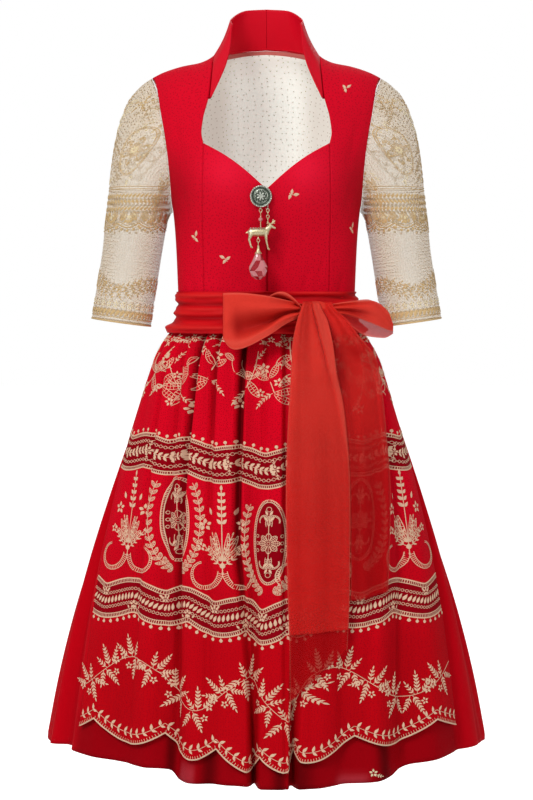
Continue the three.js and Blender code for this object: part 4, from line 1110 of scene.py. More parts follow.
def make_skirt():
    panels = (
        ("front", SEAM_RIGHT, SEAM_LEFT, 270, 84),
        ("back", SEAM_LEFT, SEAM_RIGHT + ROUND_S, 210, 64),
    )
    for side, start, end, columns, rows in panels:
        s, v = grid(columns, rows, u0=start + 0.001, u1=end - 0.001)
        z = mix(curve(SKIRT_HEM, "z", s), WAIST_Z - 0.6, v)
        shade, light = skirt_tones(s, z)
        panel = shell(
            "skirt_cloth_" + side, skirt_point(s, z), WALL["skirt"], SKIRT_SATIN, SKIRT_WRONG_SIDE,
            shade=shade, light=light,
        )
        gores = ["skirt_%s%s_%s" % (part, side, hand) for part in ("", "side_") for hand in ("left", "right")]
        sprig = [hem_sprig()] if side == "front" else []
        dress_sheet(panel, "skirt_cloth", gores, "gathered", ["sash_band"])


def hem_sprig():
    """A small stitched sprig by the hem, on the wearer's left."""
    cloth = Cloth(skirt_point, 0.25, 4.0, "skirt_cloth")
    spot = cloth.spot(5.2, -1070)
    spot.star(0, 0, 6)
    spot.spray(3, -2, -0.6, 11, 2, 4.6)
    return cloth.sew("sprig_by_the_hem", PALE_GOLD_THREAD)


def make_apron():
    stitches = embroider_apron()
    s, v = grid(380, 104, u0=APRON_LEFT, u1=APRON_RIGHT)
    z = mix(apron_hem(s), APRON_TOP, v)
    points, shade = apron_point(s, z), fold_shade(s, z)
    apron = shell("apron_cloth", points, WALL["apron"], APRON_RED, SKIRT_WRONG_SIDE, shade=shade)
    rests_on = ["sash_band", "skirt_front_left", "skirt_front_right"]
    dress_sheet(apron, "apron_cloth", ["apron"], "gathered", rests_on)


def sash_point(u, v, out):
    """A point of the sash: u round from the centre front, v upwards."""
    z = mix(SASH[0]["z"], SASH[-1]["z"], v)
    angle = 2 * np.pi * u
    out_side, out_front = curves(SASH, "out front", z)
    half = curve(BODY, "half", z) + out_side + out
    return stack(*oval(half, form_depth(BODY, angle, z) + out_front + out, angle), z)


def make_sash():
    u, v = grid(200, 38, closed=True)
    drift = 0.35 * np.sin(2 * np.pi * u + 0.6) + 0.2 * np.sin(6 * np.pi * u)
    pleats = 2.8 * np.sin(2 * np.pi * (2.7 * v + drift)) + 1.0 * np.sin(2 * np.pi * (6.5 * v - 2 * drift))
    fade = smooth(v / 0.08) * smooth((1 - v) / 0.08)
    # Painted shade in the pleats' hollows and painted light on their crests.
    band = shell(
        "sash_band_cloth", sash_point(u, v, pleats * fade - 0.8), WALL["sash"], SASH_ORGANZA, closed=True,
        shade=0.17 * np.clip(-pleats, 0, 4), light=0.08 * np.clip(pleats, 0, 4),
    )
    dress_sheet(band, "sash_organza", ["sash_band"], "gathered", ["bodice_back"])


def loop_points(rows, u, v, pleats, seed):
    """A bow loop with pleats that fan out from the knot."""
    x, y, bottom, top = curves(rows, "x y bottom top", u)
    from_knot = 1 - np.abs(2 * u - 1)
    deep = 3.2 * hill((from_knot - 0.12) / 0.3) + 0.8
    wave = deep * np.sin(2 * np.pi * (pleats * v + seed + 0.3 * from_knot))
    return stack(x, y + wave * smooth(from_knot / 0.06 + 0.3), mix(bottom, top, v))


# The hollow in the big loop's front: a sharp lower lip and a soft upper side, by the share from knot to tip.
POCKET = table(
    "along middle below above deep",
    (0, 0.5, 0.12, 0.12, 2), (0.3, 0.44, 0.1, 0.26, 10), (0.6, 0.34, 0.16, 0.4, 19),
    (0.82, 0.36, 0.26, 0.44, 15), (0.94, 0.42, 0.34, 0.46, 4), (1, 0.45, 0.34, 0.46, 0),
)
# The raised lower edge of the small loop's front.
SMALL_LOOP_EDGE = table("u bottom", (0.54, -423), (0.62, -420), (0.76, -409), (0.9, -397), (1, -394))
LOOP_TIP = 0.52
LOOP_TURN = 0.535
LOOP_HEM = 0.03
TAIL_HEM = 0.018


def big_loop(along, v):
    """The big loop from the knot (along 0) round its tip and back, its lower corner rounded."""
    points = loop_points(LOOP_RIGHT, along, v, 2.4, 0.1)
    reach = np.where(along > LOOP_TIP, 0.2, 0.065)
    corner = smooth(1 - np.abs(along - LOOP_TIP) / reach) * smooth((0.24 - v) / 0.24)
    points[..., 2] += 15 * corner**1.4
    return points


def hollow_share(along, v):
    """How much of the pocket's depth is reached at a place of the big loop's front."""
    middle, below, above = curves(POCKET, "middle below above", along)
    return bump((v - middle) / np.where(v > middle, above, below))


def rims(v, wide=LOOP_HEM):
    """The narrow hems along both edges of a strip."""
    return ((v < wide) | (v > 1 - wide)).astype(float)


def small_fold(u, v):
    """A small open fold above the big loop: v runs from its back wall over the rim."""
    arch = np.sin(np.pi * np.clip(u * 0.9 + 0.1, 0, 1))
    rim_z = mix(-372, -386, u**1.5) + 14 * arch
    rim_y = -130 - 14 * arch
    z = rim_z - (1 - v) * (8 + 14 * arch) + 1.2 * np.sin(np.pi * v)
    return stack(mix(5, 55, u), mix(-113, rim_y, smooth(v * 1.1)), z)


def bow_piece(name, points, material, node_name=None, held="folded", rests_on=("bow_knot",), **tones):
    nodes = [node_name] if node_name else []
    made = shell(name, points, WALL["bow"], material, **tones)
    return dress_sheet(made, "sash_organza", nodes, held, rests_on)


def make_big_loop():
    """The loop on the wearer's right, its front with a hollow, and the small fold above it. Painted shade
    lies in the hollow and on the fold's back wall, painted light along the hems, low on the front and at the
    fold's rim; the loop's back is a darker organza, painted shade.
    """
    u, v = grid(90, 48)
    along = LOOP_TURN * (1 - u)
    points, share = big_loop(along, v), np.clip(along / 0.5, 0, 1)
    hollow = hollow_share(share, v)
    points[..., 1] += 1.2 * curve(POCKET, "deep", share) * hollow
    shade = 0.7 * hollow * smooth(share / 0.3) * smooth((1 - share) / 0.12)
    light = 0.3 * rims(v) + 0.22 * bump((v - 0.1) / 0.12)
    bow_piece("big_loop_front", points, ORGANZA, "bow_loop_right", shade=shade, light=light)
    bow_piece("big_loop_back", big_loop(mix(1, LOOP_TURN, u), v)[:, ::-1], ORGANZA_IN_PAINTED_SHADE)
    u, v = grid(40, 16)
    shade, light = 0.9 * smooth((0.75 - v) / 0.3), 0.35 * smooth((v - 0.7) / 0.15)
    bow_piece("small_fold_over_the_loop", small_fold(u, v), ORGANZA, shade=shade, light=light)


def make_small_loop():
    """The loop on the wearer's left: painted shade on its front near the knot, painted light along its hems.
    """
    u, v = grid(70, 36)
    along = mix(0.52, 1, u)
    points = loop_points(LOOP_LEFT, along, v, 2.1, 0.45)
    points[..., 2] = mix(curve(SMALL_LOOP_EDGE, "bottom", along), points[:, -1:, 2], v)
    shade = 0.75 * bump((along - 0.86) / 0.14) * bump((v - 0.35) / 0.5)
    light = 0.3 * rims(v)
    bow_piece("small_loop_front", points[::-1], ORGANZA, "bow_loop_left", shade=shade[::-1], light=light)
    points = loop_points(LOOP_LEFT, mix(0, 0.53, u), v, 2.1, 0.45)
    bow_piece("small_loop_back", points, SHEER_ORGANZA, light=0.5 * rims(v))


def make_knot():
    """A pleated ball: its grid is closed round and ends in two poles."""
    u, v = grid(72, 40, closed=True)
    turn, rise = 2 * np.pi * u, np.pi * (v - 0.5)
    pleat = 1 + 0.07 * np.cos(5 * turn) * np.cos(rise) ** 2
    x = KNOT["x"] + KNOT["across"] * pleat * np.cos(turn) * np.cos(rise)
    y = KNOT["y"] + KNOT["deep"] * pleat * np.sin(turn) * np.cos(rise)
    points = stack(x, y, KNOT["z"] + KNOT["tall"] * np.sin(rise)).reshape(-1, 3)
    faces = grid_faces(*u.shape, closed=True)[2]
    dress_piece(new_object("knot_of_the_bow", points, faces, [ORGANZA]), "sash_organza", "bow_knot")


def tail_points(rows, u, v, end, ridges, out=0.0, strip=None):
    """A hanging tail down to the heights end. Ridges are (across, half width, out at the top, out at the
    end). strip is a folded-over edge: (height, where across it starts) by rows."""
    z = mix(end, rows[0]["z"], v)
    left, right, held = curves(rows, "left right held", z)
    x = mix(left, right, u)
    half, front = (size + TAIL_OUT for size in curves(SKIRT, "half front", z))
    on_form = front * np.sqrt(1 - np.clip(x / half, -0.98, 0.98) ** 2)
    held = np.maximum(held, 0)
    y = (on_form**SOFT_MAX + held**SOFT_MAX) ** (1 / SOFT_MAX) + out
    high = smooth((z + 640) / 230)
    for across, wide, top_out, low_out in ridges:
        y = y + mix(low_out, top_out, high) * bump((u - across) / wide)
    if strip:
        y = y + 2.6 * smooth((u - curve(strip, "from", z)) / 0.05)
    return stack(x, -y, z)


LONG_RIDGES = [(0.1, 0.14, 3, 2), (0.45, 0.22, -3, 2.5), (0.7, 0.16, 2, -1.5), (0.97, 0.1, 1.5, 2)]
SHORT_RIDGES = [(0.06, 0.16, 2, 1.5), (0.4, 0.2, -2.5, 2), (0.68, 0.2, 3, -1), (0.93, 0.1, 3, 2.5)]
LONG_STRIP = table(
    "z from", (-376, 0.56), (-400, 0.62), (-441, 0.74), (-486, 0.84), (-569, 0.92), (-700, 1.1),
)
DOUBLE_END = -866


def make_tails():
    u, v = grid(50, 116)
    # Painted light along the tails' hems.
    edge = 0.45 * rims(u, TAIL_HEM)
    end = TAIL_LONG[-1]["z"] + TAIL_SLANT * u
    points = tail_points(TAIL_LONG, u, v, end, LONG_RIDGES)
    hung = {"held": "hung", "rests_on": ("bow_knot", "apron")}
    under = bow_piece("long_tail_under_layer", points, TAIL_SINGLE, "bow_tail_long", light=edge, **hung)
    points = tail_points(TAIL_LONG, u, v, DOUBLE_END + 5 * u, LONG_RIDGES, 2.0, LONG_STRIP)
    z = points[..., 2]
    from_strip = u - curve(LONG_STRIP, "from", z)
    beside_strip = bump(from_strip / 0.16) * (from_strip < 0)
    # Painted shade high on the upper layer and beside its strip, painted light on the strip.
    shade = 0.55 * smooth((z + 560) / 150) * (0.5 * bump((u - 0.3) / 0.25) + beside_strip)
    light = np.maximum(edge, 0.22 * smooth(from_strip / 0.05))
    bow_piece(
        "long_tail_upper_layer", points, TAIL_ORGANZA, shade=shade, light=light,
        held="hung", rests_on=("bow_knot", under),
    )
    end = TAIL_SHORT[-1]["z"] + 8 * smooth((u - 0.2) / 0.8)
    points = tail_points(TAIL_SHORT, u, v, end, SHORT_RIDGES)
    # Painted shade high on the short tail, along its edge nearer the middle.
    shade = 0.7 * bump(u / 0.35) * smooth((points[..., 2] + 640) / 200)
    bow_piece("short_tail_of_the_bow", points, SHORT_TAIL, "bow_tail_short", shade=shade, light=edge, **hung)


# ---- Button and pendant
BUTTON = (-8.5, -122.6, -216.5)
BUTTON_PROFILE = [
    (0.1, 0), (10, 0), (10, 1.4), (16.1, 1.2), (16.8, 2.2), (16.6, 3.3), (15.6, 3.9), (14.3, 3.3),
    (13.4, 2.5), (11.8, 2.4), (11, 3.4), (9.8, 4.1), (6, 4.4), (0.1, 4.5),
]
BUTTON_SLOTS = [0, 0, 0, 0, 0, 0, 0, 1, 1, 1, 0, 1, 1]
HANG_Y = -125.8
LINK = {"radius": 2.1, "wire": 0.55, "stretch": 1.4, "step": 4.7}
STAG_HANG_X = -9
FRONT_HANG_X = 2
DROP_HANG_X = -12.5
EYE_Z = -234.6
FIRST_LINK_Z = -237.9
PIN_TOP_Z = -245
BEAD_Z = -251.5
PIN_LOW_Z = -264
BELLY_LOOP_Z = -279.8
DROP_LINK_Z = -283.3
CAP_TOP_Z = -290.5
STAG = (-9, HANG_Y, -275)
# Start and end of each limb, and its radius at both, from the stag's middle.
STAG_TRUNK = [
    ((-14, 0, 4), (7, 0, 4.5), 6.2, 6.5), ((8, 0, 6), (14.5, 0, 13), 5.2, 3.2),
    ((14.5, 0, 14), (21.5, 0, 10.5), 3.1, 1.7), ((-16, 0, 6), (-22, 0, 3), 2.2, 0.9),
    ((11, -4.2, 19.9), (11, 4.2, 19.9), 1.0, 1.0),
]
STAG_PAIRS = [
    ((7.5, 2.6, 2), (9, 2.9, -10), 2.9, 1.5), ((9, 2.9, -10), (11.5, 2.9, -21), 1.5, 1.0),
    ((11.5, 2.9, -21), (13, 2.9, -22), 1.4, 1.2), ((-14, 2.6, 2), (-17.5, 2.9, -7), 3.8, 1.7),
    ((-17.5, 2.9, -7), (-14.5, 2.9, -18), 1.7, 1.1), ((-14.5, 2.9, -18), (-13, 2.9, -19), 1.4, 1.2),
    ((14, 1.4, 15.5), (10.5, 4.6, 20), 1.3, 0.9), ((14, 1.4, 15.5), (21.5, 4.4, 21), 1.3, 0.8),
    ((18, 3.2, 18.8), (19, 4.4, 23), 0.9, 0.7),
    ((13.2, 2.5, 17), (9.5, 1.2, 17.8), 0.9, 0.6), ((17, 2.8, 18), (21.5, 5, 17.5), 0.9, 0.5),
    ((13, 2.2, 14.6), (10.2, 4.8, 14.2), 1.1, 0.5),
]
CAP_PROFILE = [
    (0.1, 0), (1.2, 0.4), (1.5, 2), (2.0, 2.5), (1.6, 3.1), (2.2, 6), (3.1, 9), (4.3, 11.3), (4.9, 12),
    (4.8, 12.8), (0.1, 13),
]
CRYSTAL_RINGS = [(4.3, 12.9), (9.6, 23.5), (14.0, 33.5), (14.4, 39.5), (10.2, 47.5), (4.2, 52), (0.2, 53)]
CRYSTAL_SIDES = 8
CRYSTAL_FLATNESS = 0.62


def chain_link(parts, x, z, turned, stretch=LINK["stretch"]):
    """One oval link; turned ones lie across the others."""
    turn = turns(18)
    across, tall = LINK["radius"] * np.cos(turn), stretch * LINK["radius"] * np.sin(turn)
    path = stack(x, HANG_Y + across, z + tall) if turned else stack(x + across, HANG_Y, z + tall)
    parts.tube(path, LINK["wire"], 8, closed=True)


def on_button(radius, turn, height):
    """A place on the button, by its radius, its angle and its height above the button's foot."""
    x, y, z = BUTTON
    return (x + radius * math.cos(turn), y - height, z + radius * math.sin(turn))


def make_button():
    parts = Parts()
    parts.turned(BUTTON_PROFILE, BUTTON, "-y", slot=BUTTON_SLOTS)
    for turn in turns(28):
        parts.ball(on_button(15.5, turn, 4.0), 1.35, slot=2, sides=8)
    for turn in turns(7):
        reach = np.array([math.cos(turn), 0, math.sin(turn)])
        parts.limb(on_button(2.4, turn, 5.2), on_button(5.4, turn, 4.9), 1.1, 1.5, slot=2)
        parts.limb(on_button(7.6, turn + 0.4, 4.5), on_button(10.4, turn + 0.7, 3.9), 0.9, 0.5)
        parts.ball(np.array(on_button(8.8, turn, 4.4)) + 0.2 * reach, 0.9, sides=8)
    parts.ball(on_button(0, 0, 5.3), 1.7, slot=2)
    chain_link(parts, STAG_HANG_X, EYE_Z, True, 1)
    chain_link(parts, FRONT_HANG_X, EYE_Z + 1.2, True, 1.8)
    dress_piece(parts.made("pewter_button", [PEWTER, PEWTER_DARK, BRIGHT_PEWTER]), "pewter", "button")


def make_stag():
    parts = Parts()
    rows = list(STAG_TRUNK)
    for start, end, first, last in STAG_PAIRS:
        for side in (1, -1):
            flip = np.array([1, side, 1])
            rows.append((np.array(start) * flip, np.array(end) * flip, first, last))
    for start, end, first, last in rows:
        parts.limb(np.array(start) + STAG, np.array(end) + STAG, first, last)
    for n in range(6):
        for side in (-1, 0, 1):
            spot = (-15 + 4 * n, 3.8 * side, 10.2 - 1.9 * abs(side))
            parts.ball(np.array(spot) + STAG, 1.3, slot=1 + (n + side) % 2, sides=8)
    for x, links in ((FRONT_HANG_X, 4), (STAG_HANG_X, 2)):
        for n in range(links):
            chain_link(parts, x, FIRST_LINK_Z - n * LINK["step"], n % 2 == 1)
    parts.limb((STAG_HANG_X, HANG_Y, PIN_TOP_Z), (STAG_HANG_X, HANG_Y, PIN_LOW_Z), 0.7, 0.7)
    chain_link(parts, DROP_HANG_X, BELLY_LOOP_Z, True, 1)
    dress_piece(parts.made("gilt_stag", [GILT, PEWTER, BRIGHT_PEWTER]), "gilt", "stag_charm", body="stag")
    bead = Parts()
    bead.ball((STAG_HANG_X, HANG_Y, BEAD_Z), 3.3, sides=10)
    piece = bead.made("pink_bead", [PALE_FACET], smooth_faces=False)
    dress_piece(piece, "crystal", "charm_bead", body="stag")


def make_drop():
    parts = Parts()
    parts.turned(CAP_PROFILE, (DROP_HANG_X, HANG_Y, CAP_TOP_Z), "-z", sides=24)
    for turn in turns(12):
        x, y = DROP_HANG_X + 4.7 * math.cos(turn), HANG_Y + 4.7 * math.sin(turn)
        parts.ball((x, y, CAP_TOP_Z - 12.4), 0.8, sides=8)
    chain_link(parts, DROP_HANG_X, DROP_LINK_Z, False)
    chain_link(parts, DROP_HANG_X, DROP_LINK_Z - LINK["step"], True)
    dress_piece(parts.made("gilt_cap", [GILT]), "gilt", "drop_cap", body="drop")
    crystal = cut_crystal().made("pink_crystal_drop", [PALE_FACET, DARK_REFLECTION_FACET], smooth_faces=False)
    dress_piece(crystal, "crystal", "drop_crystal", body="drop")


def cut_crystal():
    """Rings of corners, every other one turned by half a step, with flat facets between them."""
    corners, faces, slots = [], [], []
    for row, (radius, down) in enumerate(CRYSTAL_RINGS):
        for n in range(CRYSTAL_SIDES):
            turn = 2 * math.pi * (n + 0.5 * (row % 2)) / CRYSTAL_SIDES
            corners.append((
                DROP_HANG_X + radius * math.cos(turn),
                HANG_Y - CRYSTAL_FLATNESS * radius * math.sin(turn),
                CAP_TOP_Z - down,
            ))
    for row in range(len(CRYSTAL_RINGS) - 1):
        for n in range(CRYSTAL_SIDES):
            low, high = (row + 1) * CRYSTAL_SIDES, row * CRYSTAL_SIDES
            shift = row % 2
            above, beside = high + n, high + (n + 1) % CRYSTAL_SIDES
            below, next_below = low + (n + shift) % CRYSTAL_SIDES, low + (n + shift - 1) % CRYSTAL_SIDES
            faces += [[above, beside, below], [above, below, next_below]]
            # Pale and dark facets in a fixed pattern: painted reflections of the white room and of the red
            # dress.
            slots += [int((n + row) % 2 == 0), int((n + 2 * row) % 3 == 1)]
    faces.append(list(range(CRYSTAL_SIDES))[::-1])
    slots.append(0)
    crystal = Parts()
    crystal.add(corners, faces, slots)
    return crystal


# ---- Embroidery
def lengths(steps):
    """Length along a line up to each of its points, from its steps."""
    return np.concatenate([[0], np.cumsum(steps)])


class Cloth:
    """A cloth to stitch on. place(a, b, out) gives its points: a runs to the side and b upwards."""

    def __init__(self, place, span_a, span_b, slot, lowest=0.15):
        self.place, self.span_a, self.span_b, self.slot, self.lowest = place, span_a, span_b, slot, lowest
        self.clear()

    def clear(self):
        self.rows, self.faces, self.uvs, self.count = [], [], [], 0

    def scale(self, a, b):
        """Millimetres of cloth for one unit of a and one of b."""
        a, b = np.broadcast_arrays(np.asarray(a, float), np.asarray(b, float))
        across = self.place(a + self.span_a, b, 0.0) - self.place(a - self.span_a, b, 0.0)
        upwards = self.place(a, b + self.span_b, 0.0) - self.place(a, b - self.span_b, 0.0)
        per_a = np.linalg.norm(across, axis=-1) / (2 * self.span_a)
        per_b = np.linalg.norm(upwards, axis=-1) / (2 * self.span_b)
        return np.maximum(per_a, 1.0), np.maximum(per_b, 0.5)

    def spot(self, a, b, turn=0.0, size=1.0, flip=1):
        return Spot(self, a, b, self.scale(a, b)).at(0, 0, turn, size, flip)

    def lay(self, a, b, scale, width, height=0.5):
        """Lays a raised strip of thread along the line (a, b). Its width may change along it."""
        count = len(a)
        width, per_a, per_b = (np.broadcast_to(one, count) for one in (width, *scale))
        run = unit(np.stack([np.gradient(a) * per_a, np.gradient(b) * per_b], axis=1))
        side_a, side_b = -run[:, 1] * width / 2 / per_a, run[:, 0] * width / 2 / per_b
        crest = self.lowest + height * np.minimum(1, width / max(width.max() * 0.6, 1e-6))
        low = np.full(count, self.lowest)
        for row in ((a - side_a, b - side_b, low), (a, b, crest), (a + side_a, b + side_b, low)):
            self.rows.append(np.stack(row, axis=1))
        i = np.arange(count - 1)
        length = lengths(np.hypot(np.diff(a) * per_a[1:], np.diff(b) * per_b[1:]))
        for row in (0, 1):
            low_row, high_row = self.count + row * count + i, self.count + (row + 1) * count + i
            self.faces.append(np.stack([low_row, low_row + 1, high_row + 1, high_row], axis=1))
            u, v = [length[:-1], length[1:], length[1:], length[:-1]], [row, row, row + 1, row + 1]
            self.uvs.append(np.stack([np.stack(u, axis=1), np.broadcast_to(v, (count - 1, 4))], axis=-1))
        self.count += 3 * count

    def line(self, a, b, width, height=0.5, up=0.0):
        """A strip of thread along a line of the cloth, moved up by some millimetres."""
        scale = self.scale(a, b)
        self.lay(a, b + up / scale[1], scale, width, height)

    def walk(self, a, b, step, start=0.0, up=0.0):
        """Spots at even steps along a line of the cloth, each turned with the line."""
        per_a, per_b = self.scale(a, b)
        b = b + up / per_b
        run_a, run_b = np.gradient(a) * per_a, np.gradient(b) * per_b
        length = lengths(np.hypot(run_a, run_b)[1:])
        at = np.arange(start, length[-1], step)
        columns = [np.interp(at, length, column) for column in (a, b, per_a, per_b, run_a, run_b)]
        return [
            Spot(self, a0, b0, (scale_a, scale_b)).at(0, 0, math.atan2(rise, run))
            for a0, b0, scale_a, scale_b, run, rise in zip(*columns)
        ]

    def sew(self, name, material):
        """Makes one piece of all the thread laid so far, and starts afresh."""
        rows = np.concatenate(self.rows)
        points = self.place(rows[:, 0], rows[:, 1], rows[:, 2])
        uvs = np.concatenate(self.uvs).reshape(-1, 2)
        piece = new_object(name, points, np.concatenate(self.faces), [material], uvs=uvs)
        self.clear()
        return dress_piece(piece, self.slot)


class Spot:
    """A place on a cloth with its own upright, in millimetres of cloth."""

    def __init__(self, cloth, a, b, scale, axes=np.eye(2), shift=np.zeros(2)):
        self.cloth, self.a, self.b, self.scale = cloth, a, b, scale
        self.axes, self.shift = axes, shift
        self.size = math.sqrt(abs(axes[0, 0] * axes[1, 1] - axes[0, 1] * axes[1, 0]))

    def at(self, x, y, turn=0.0, size=1.0, flip=1):
        c, s = math.cos(turn) * size, math.sin(turn) * size
        axes = self.axes @ np.array([[c * flip, -s], [s * flip, c]])
        return Spot(self.cloth, self.a, self.b, self.scale, axes, self.shift + self.axes @ np.array([x, y]))

    def thread(self, line, width=0.9, height=0.45):
        line = np.asarray(line, float) @ self.axes.T + self.shift
        a, b = self.a + line[:, 0] / self.scale[0], self.b + line[:, 1] / self.scale[1]
        self.cloth.lay(a, b, self.scale, np.asarray(width) * self.size, height)

    def leaf(self, x, y, turn, length, width, bend=0.0, height=0.6):
        """A filled satin-stitch leaf from its stalk at (x, y)."""
        self.at(x, y, turn).thread(spine(length, bend, 6), width * LEAF_SHAPE, height)

    def dot(self, x, y, radius, height=0.8):
        self.at(x - radius, y).thread(spine(2 * radius, 0, 6), 2 * radius * DOT_SHAPE, height)

    def ring(self, x, y, radius, width=0.8):
        t = np.linspace(0, 2 * np.pi, 11)
        self.at(x, y).thread(radius * np.stack([np.cos(t), np.sin(t)], axis=1), width)

    def ladder(self, line, gap, rung=2.6, width=0.8):
        """Two lines of thread, a gap apart, with rungs between them. The gap may change along them."""
        line = np.asarray(line, float)
        run = unit(np.gradient(line, axis=0))
        side = np.stack([-run[:, 1], run[:, 0]], axis=1) * np.broadcast_to(gap, len(line))[:, None] / 2
        edges = (line - side, line + side)
        for edge in edges:
            self.thread(edge, width)
        length = lengths(np.linalg.norm(np.diff(line, axis=0), axis=1))
        for at in np.arange(rung, length[-1] - rung / 2, rung):
            ends = [[np.interp(at, length, column) for column in edge.T] for edge in edges]
            self.thread(ends, width * 0.9, 0.3)

    def open_leaf(self, x, y, turn, length, width, bend=0.0):
        """An outlined leaf with a midrib and slanting veins."""
        leaf = self.at(x, y, turn)
        middle = spine(length, bend, 10)
        leaf.ladder(middle, width * LEAF_OUTLINE, rung=max(2.4, length / 7), width=0.8)
        leaf.thread(middle[1:-1], 0.6)

    def spray(self, x, y, turn, length, pairs, leaf=5.5, bend=0.4):
        """A small frond: a bent stem with pairs of filled leaves and one at its tip."""
        frond = self.at(x, y, turn)
        stem = spine(length, bend, 8)
        frond.thread(stem, 0.8)
        for n in range(pairs):
            share = (n + 0.8) / (pairs + 0.6)
            at_x, at_y = (np.interp(share, np.linspace(0, 1, 8), column) for column in stem.T)
            for side in (1, -1):
                frond.leaf(at_x, at_y, bend * share + side * 0.75, leaf * (1.1 - 0.45 * share), leaf * 0.34)
        frond.leaf(*stem[-1], bend, leaf * 0.9, leaf * 0.32)

    def star(self, x, y, radius, petals=5):
        """A star flower: pointed petals round an open eye."""
        for heading in 0.3 + turns(petals):
            self.leaf(*beside(x, y, 0.26 * radius, heading), heading, radius * 0.78, radius * 0.52)

    def daisy(self, x, y, radius, petals=8):
        """A round flower of outlined petals about a ringed eye."""
        for heading in turns(petals):
            self.open_leaf(*beside(x, y, 0.24 * radius, heading), heading, radius * 0.76, radius * 0.5)
        self.ring(x, y, radius * 0.14)

    def hook(self, x, y, turn, length, width, bend):
        """A banded scroll that tapers and winds up towards its end."""
        t = np.linspace(0, 1, 16)
        heading = bend * t**1.3
        step = length / 15
        line = np.stack([np.cumsum(np.cos(heading)) * step, np.cumsum(np.sin(heading)) * step], axis=1)
        self.at(x, y, turn).ladder(line, width * (1 - 0.75 * t), rung=2.4)


def beside(x, y, away, heading):
    return x + away * math.cos(heading), y + away * math.sin(heading)


def spine(length, bend, count):
    """A line that turns evenly by bend over its length."""
    t = np.linspace(0, 1, count)
    if abs(bend) < 0.01:
        return np.stack([length * t, np.zeros(count)], axis=1)
    return np.stack([length * np.sin(bend * t) / bend, length * (1 - np.cos(bend * t)) / bend], axis=1)


LEAF_SHAPE = np.array([0.12, 0.8, 1.0, 0.86, 0.5, 0.06])
DOT_SHAPE = np.array([0.3, 0.8, 0.98, 0.98, 0.8, 0.3])
LEAF_OUTLINE = np.sin(np.pi * np.linspace(0.03, 0.98, 10)) ** 0.8


# ---- Motifs
def flower_tree(spot):
    """An upright flower tree on two scrolled feet, 145 mm tall."""
    spot.thread([[0, -34], [0, 0], [0, 66]], 1.1)
    for n in range(5):
        for side in (-1, 1):
            spot.leaf(side * 0.8, 26 + 8.5 * n, math.pi / 2 - side * 0.75, 7.6 - 0.6 * n, 4.2)
    spot.leaf(0, 66, math.pi / 2, 7, 3.6)
    for side in (-1, 1):
        half = spot.at(0, 0, 0, 1, side)
        for lean, length in ((0.32, 34), (0.62, 32), (0.95, 24)):
            half.open_leaf(1, -18, math.pi / 2 - lean, length, 5.5, 0.25)
        half.spray(1, -24, 0.55, 30, 4, 6.0, 0.5)
        half.spray(1, -10, 0.95, 24, 3, 5.2, 0.35)
        half.star(22, 24, 7.5)
        half.star(27, -2, 5.5)
        half.leaf(14, 36, 1.2, 9, 4.2)
        half.hook(1.5, -26, -1.45, 78, 6.5, 4.3)
    spot.dot(0, -24, 3.2)


def oval_line(half_width, half_height):
    t = np.linspace(0, 2 * np.pi, 41)
    return np.stack([half_width * np.sin(t), half_height * np.cos(t)], axis=1)


def medallion(spot):
    """An oval frame with a flower and curls inside it."""
    spot.ladder(oval_line(23, 58), 3.2, 2.4, 1.0)
    spot.daisy(0, -2, 14.5)
    for end in (1, -1):
        part = spot.at(0, 0, 0 if end > 0 else math.pi)
        part.thread([[0, 12], [0, 24], [1.5, 40]], 0.9)
        for side in (-1, 1):
            part.at(0, 0, 0, 1, side).hook(1, 20, 1.15, 34, 3.2, 3.8)
            part.leaf(side * 1.5, 30, math.pi / 2 - side * 0.8, 8, 3.6)
            part.leaf(side * 1.5, 38, math.pi / 2 - side * 0.5, 7, 3.2)
        part.ring(0, 46, 3.4)
    for side in (-1, 1):
        for n in range(3):
            spot.ring(side * 17, -12 + 10 * n, 2.2)


def leafy_arch(spot, half_width, half_height, side):
    """A garland of outlined leaves that climbs one side of a medallion."""
    t = np.linspace(0.06, 0.74, 15) * math.pi
    line = np.stack([side * half_width * np.sin(t), -half_height * np.cos(t)], axis=1)[::-1]
    spot.thread(line, 0.9)
    for n in range(1, 15):
        run = line[n] - line[n - 1]
        heading = math.atan2(-run[1], -run[0])
        for lean in (0.75, -0.75):
            spot.open_leaf(line[n][0], line[n][1], heading + lean, 9.5, 3.9, 0.2)


def horn_group(spot):
    """A banded horn with a long bent stem, big leaves, fronds and star flowers."""
    spot.hook(-6, 34, -1.75, 58, 11, 2.9)
    spot.open_leaf(-10, 30, 2.3, 17, 8, 0.4)
    t = np.linspace(0, 1, 9)
    stem = np.stack([26 - 30 * t + 6 * np.sin(np.pi * t), 44 - 74 * t], axis=1)
    spot.thread(stem, 1.1)
    spot.star(-4, -37, 8)
    spot.open_leaf(20, 22, -0.5, 25, 11, -0.5)
    spot.open_leaf(11, -2, -1.1, 30, 12, 0.3)
    spot.open_leaf(17, 8, 2.9, 15, 8, 0.4)
    spot.spray(6, -16, -2.5, 25, 4, 5.8, 0.4)
    spot.spray(22, 30, 0.7, 20, 3, 5.2, 0.3)
    spot.star(30, -20, 6.5)


def leaf_group(spot):
    """Two long banded leaves that cross, with a frond and star flowers."""
    spot.open_leaf(2, -10, -0.25, 34, 10, 0.5)
    spot.open_leaf(2, -12, -0.95, 34, 10, 0.6)
    spot.spray(0, -10, math.pi + 0.3, 30, 5, 6.2, 0.5)
    spot.thread([[2, -10], [0, 6], [-4, 22]], 1.1)
    spot.star(-5, 29, 8.5)
    spot.open_leaf(-2, 12, 2.7, 22, 9, -0.4)
    spot.open_leaf(0, 14, 0.7, 24, 9, 0.4)
    spot.spray(18, 24, 1.2, 20, 3, 5.4, -0.4)
    spot.star(24, 6, 6)


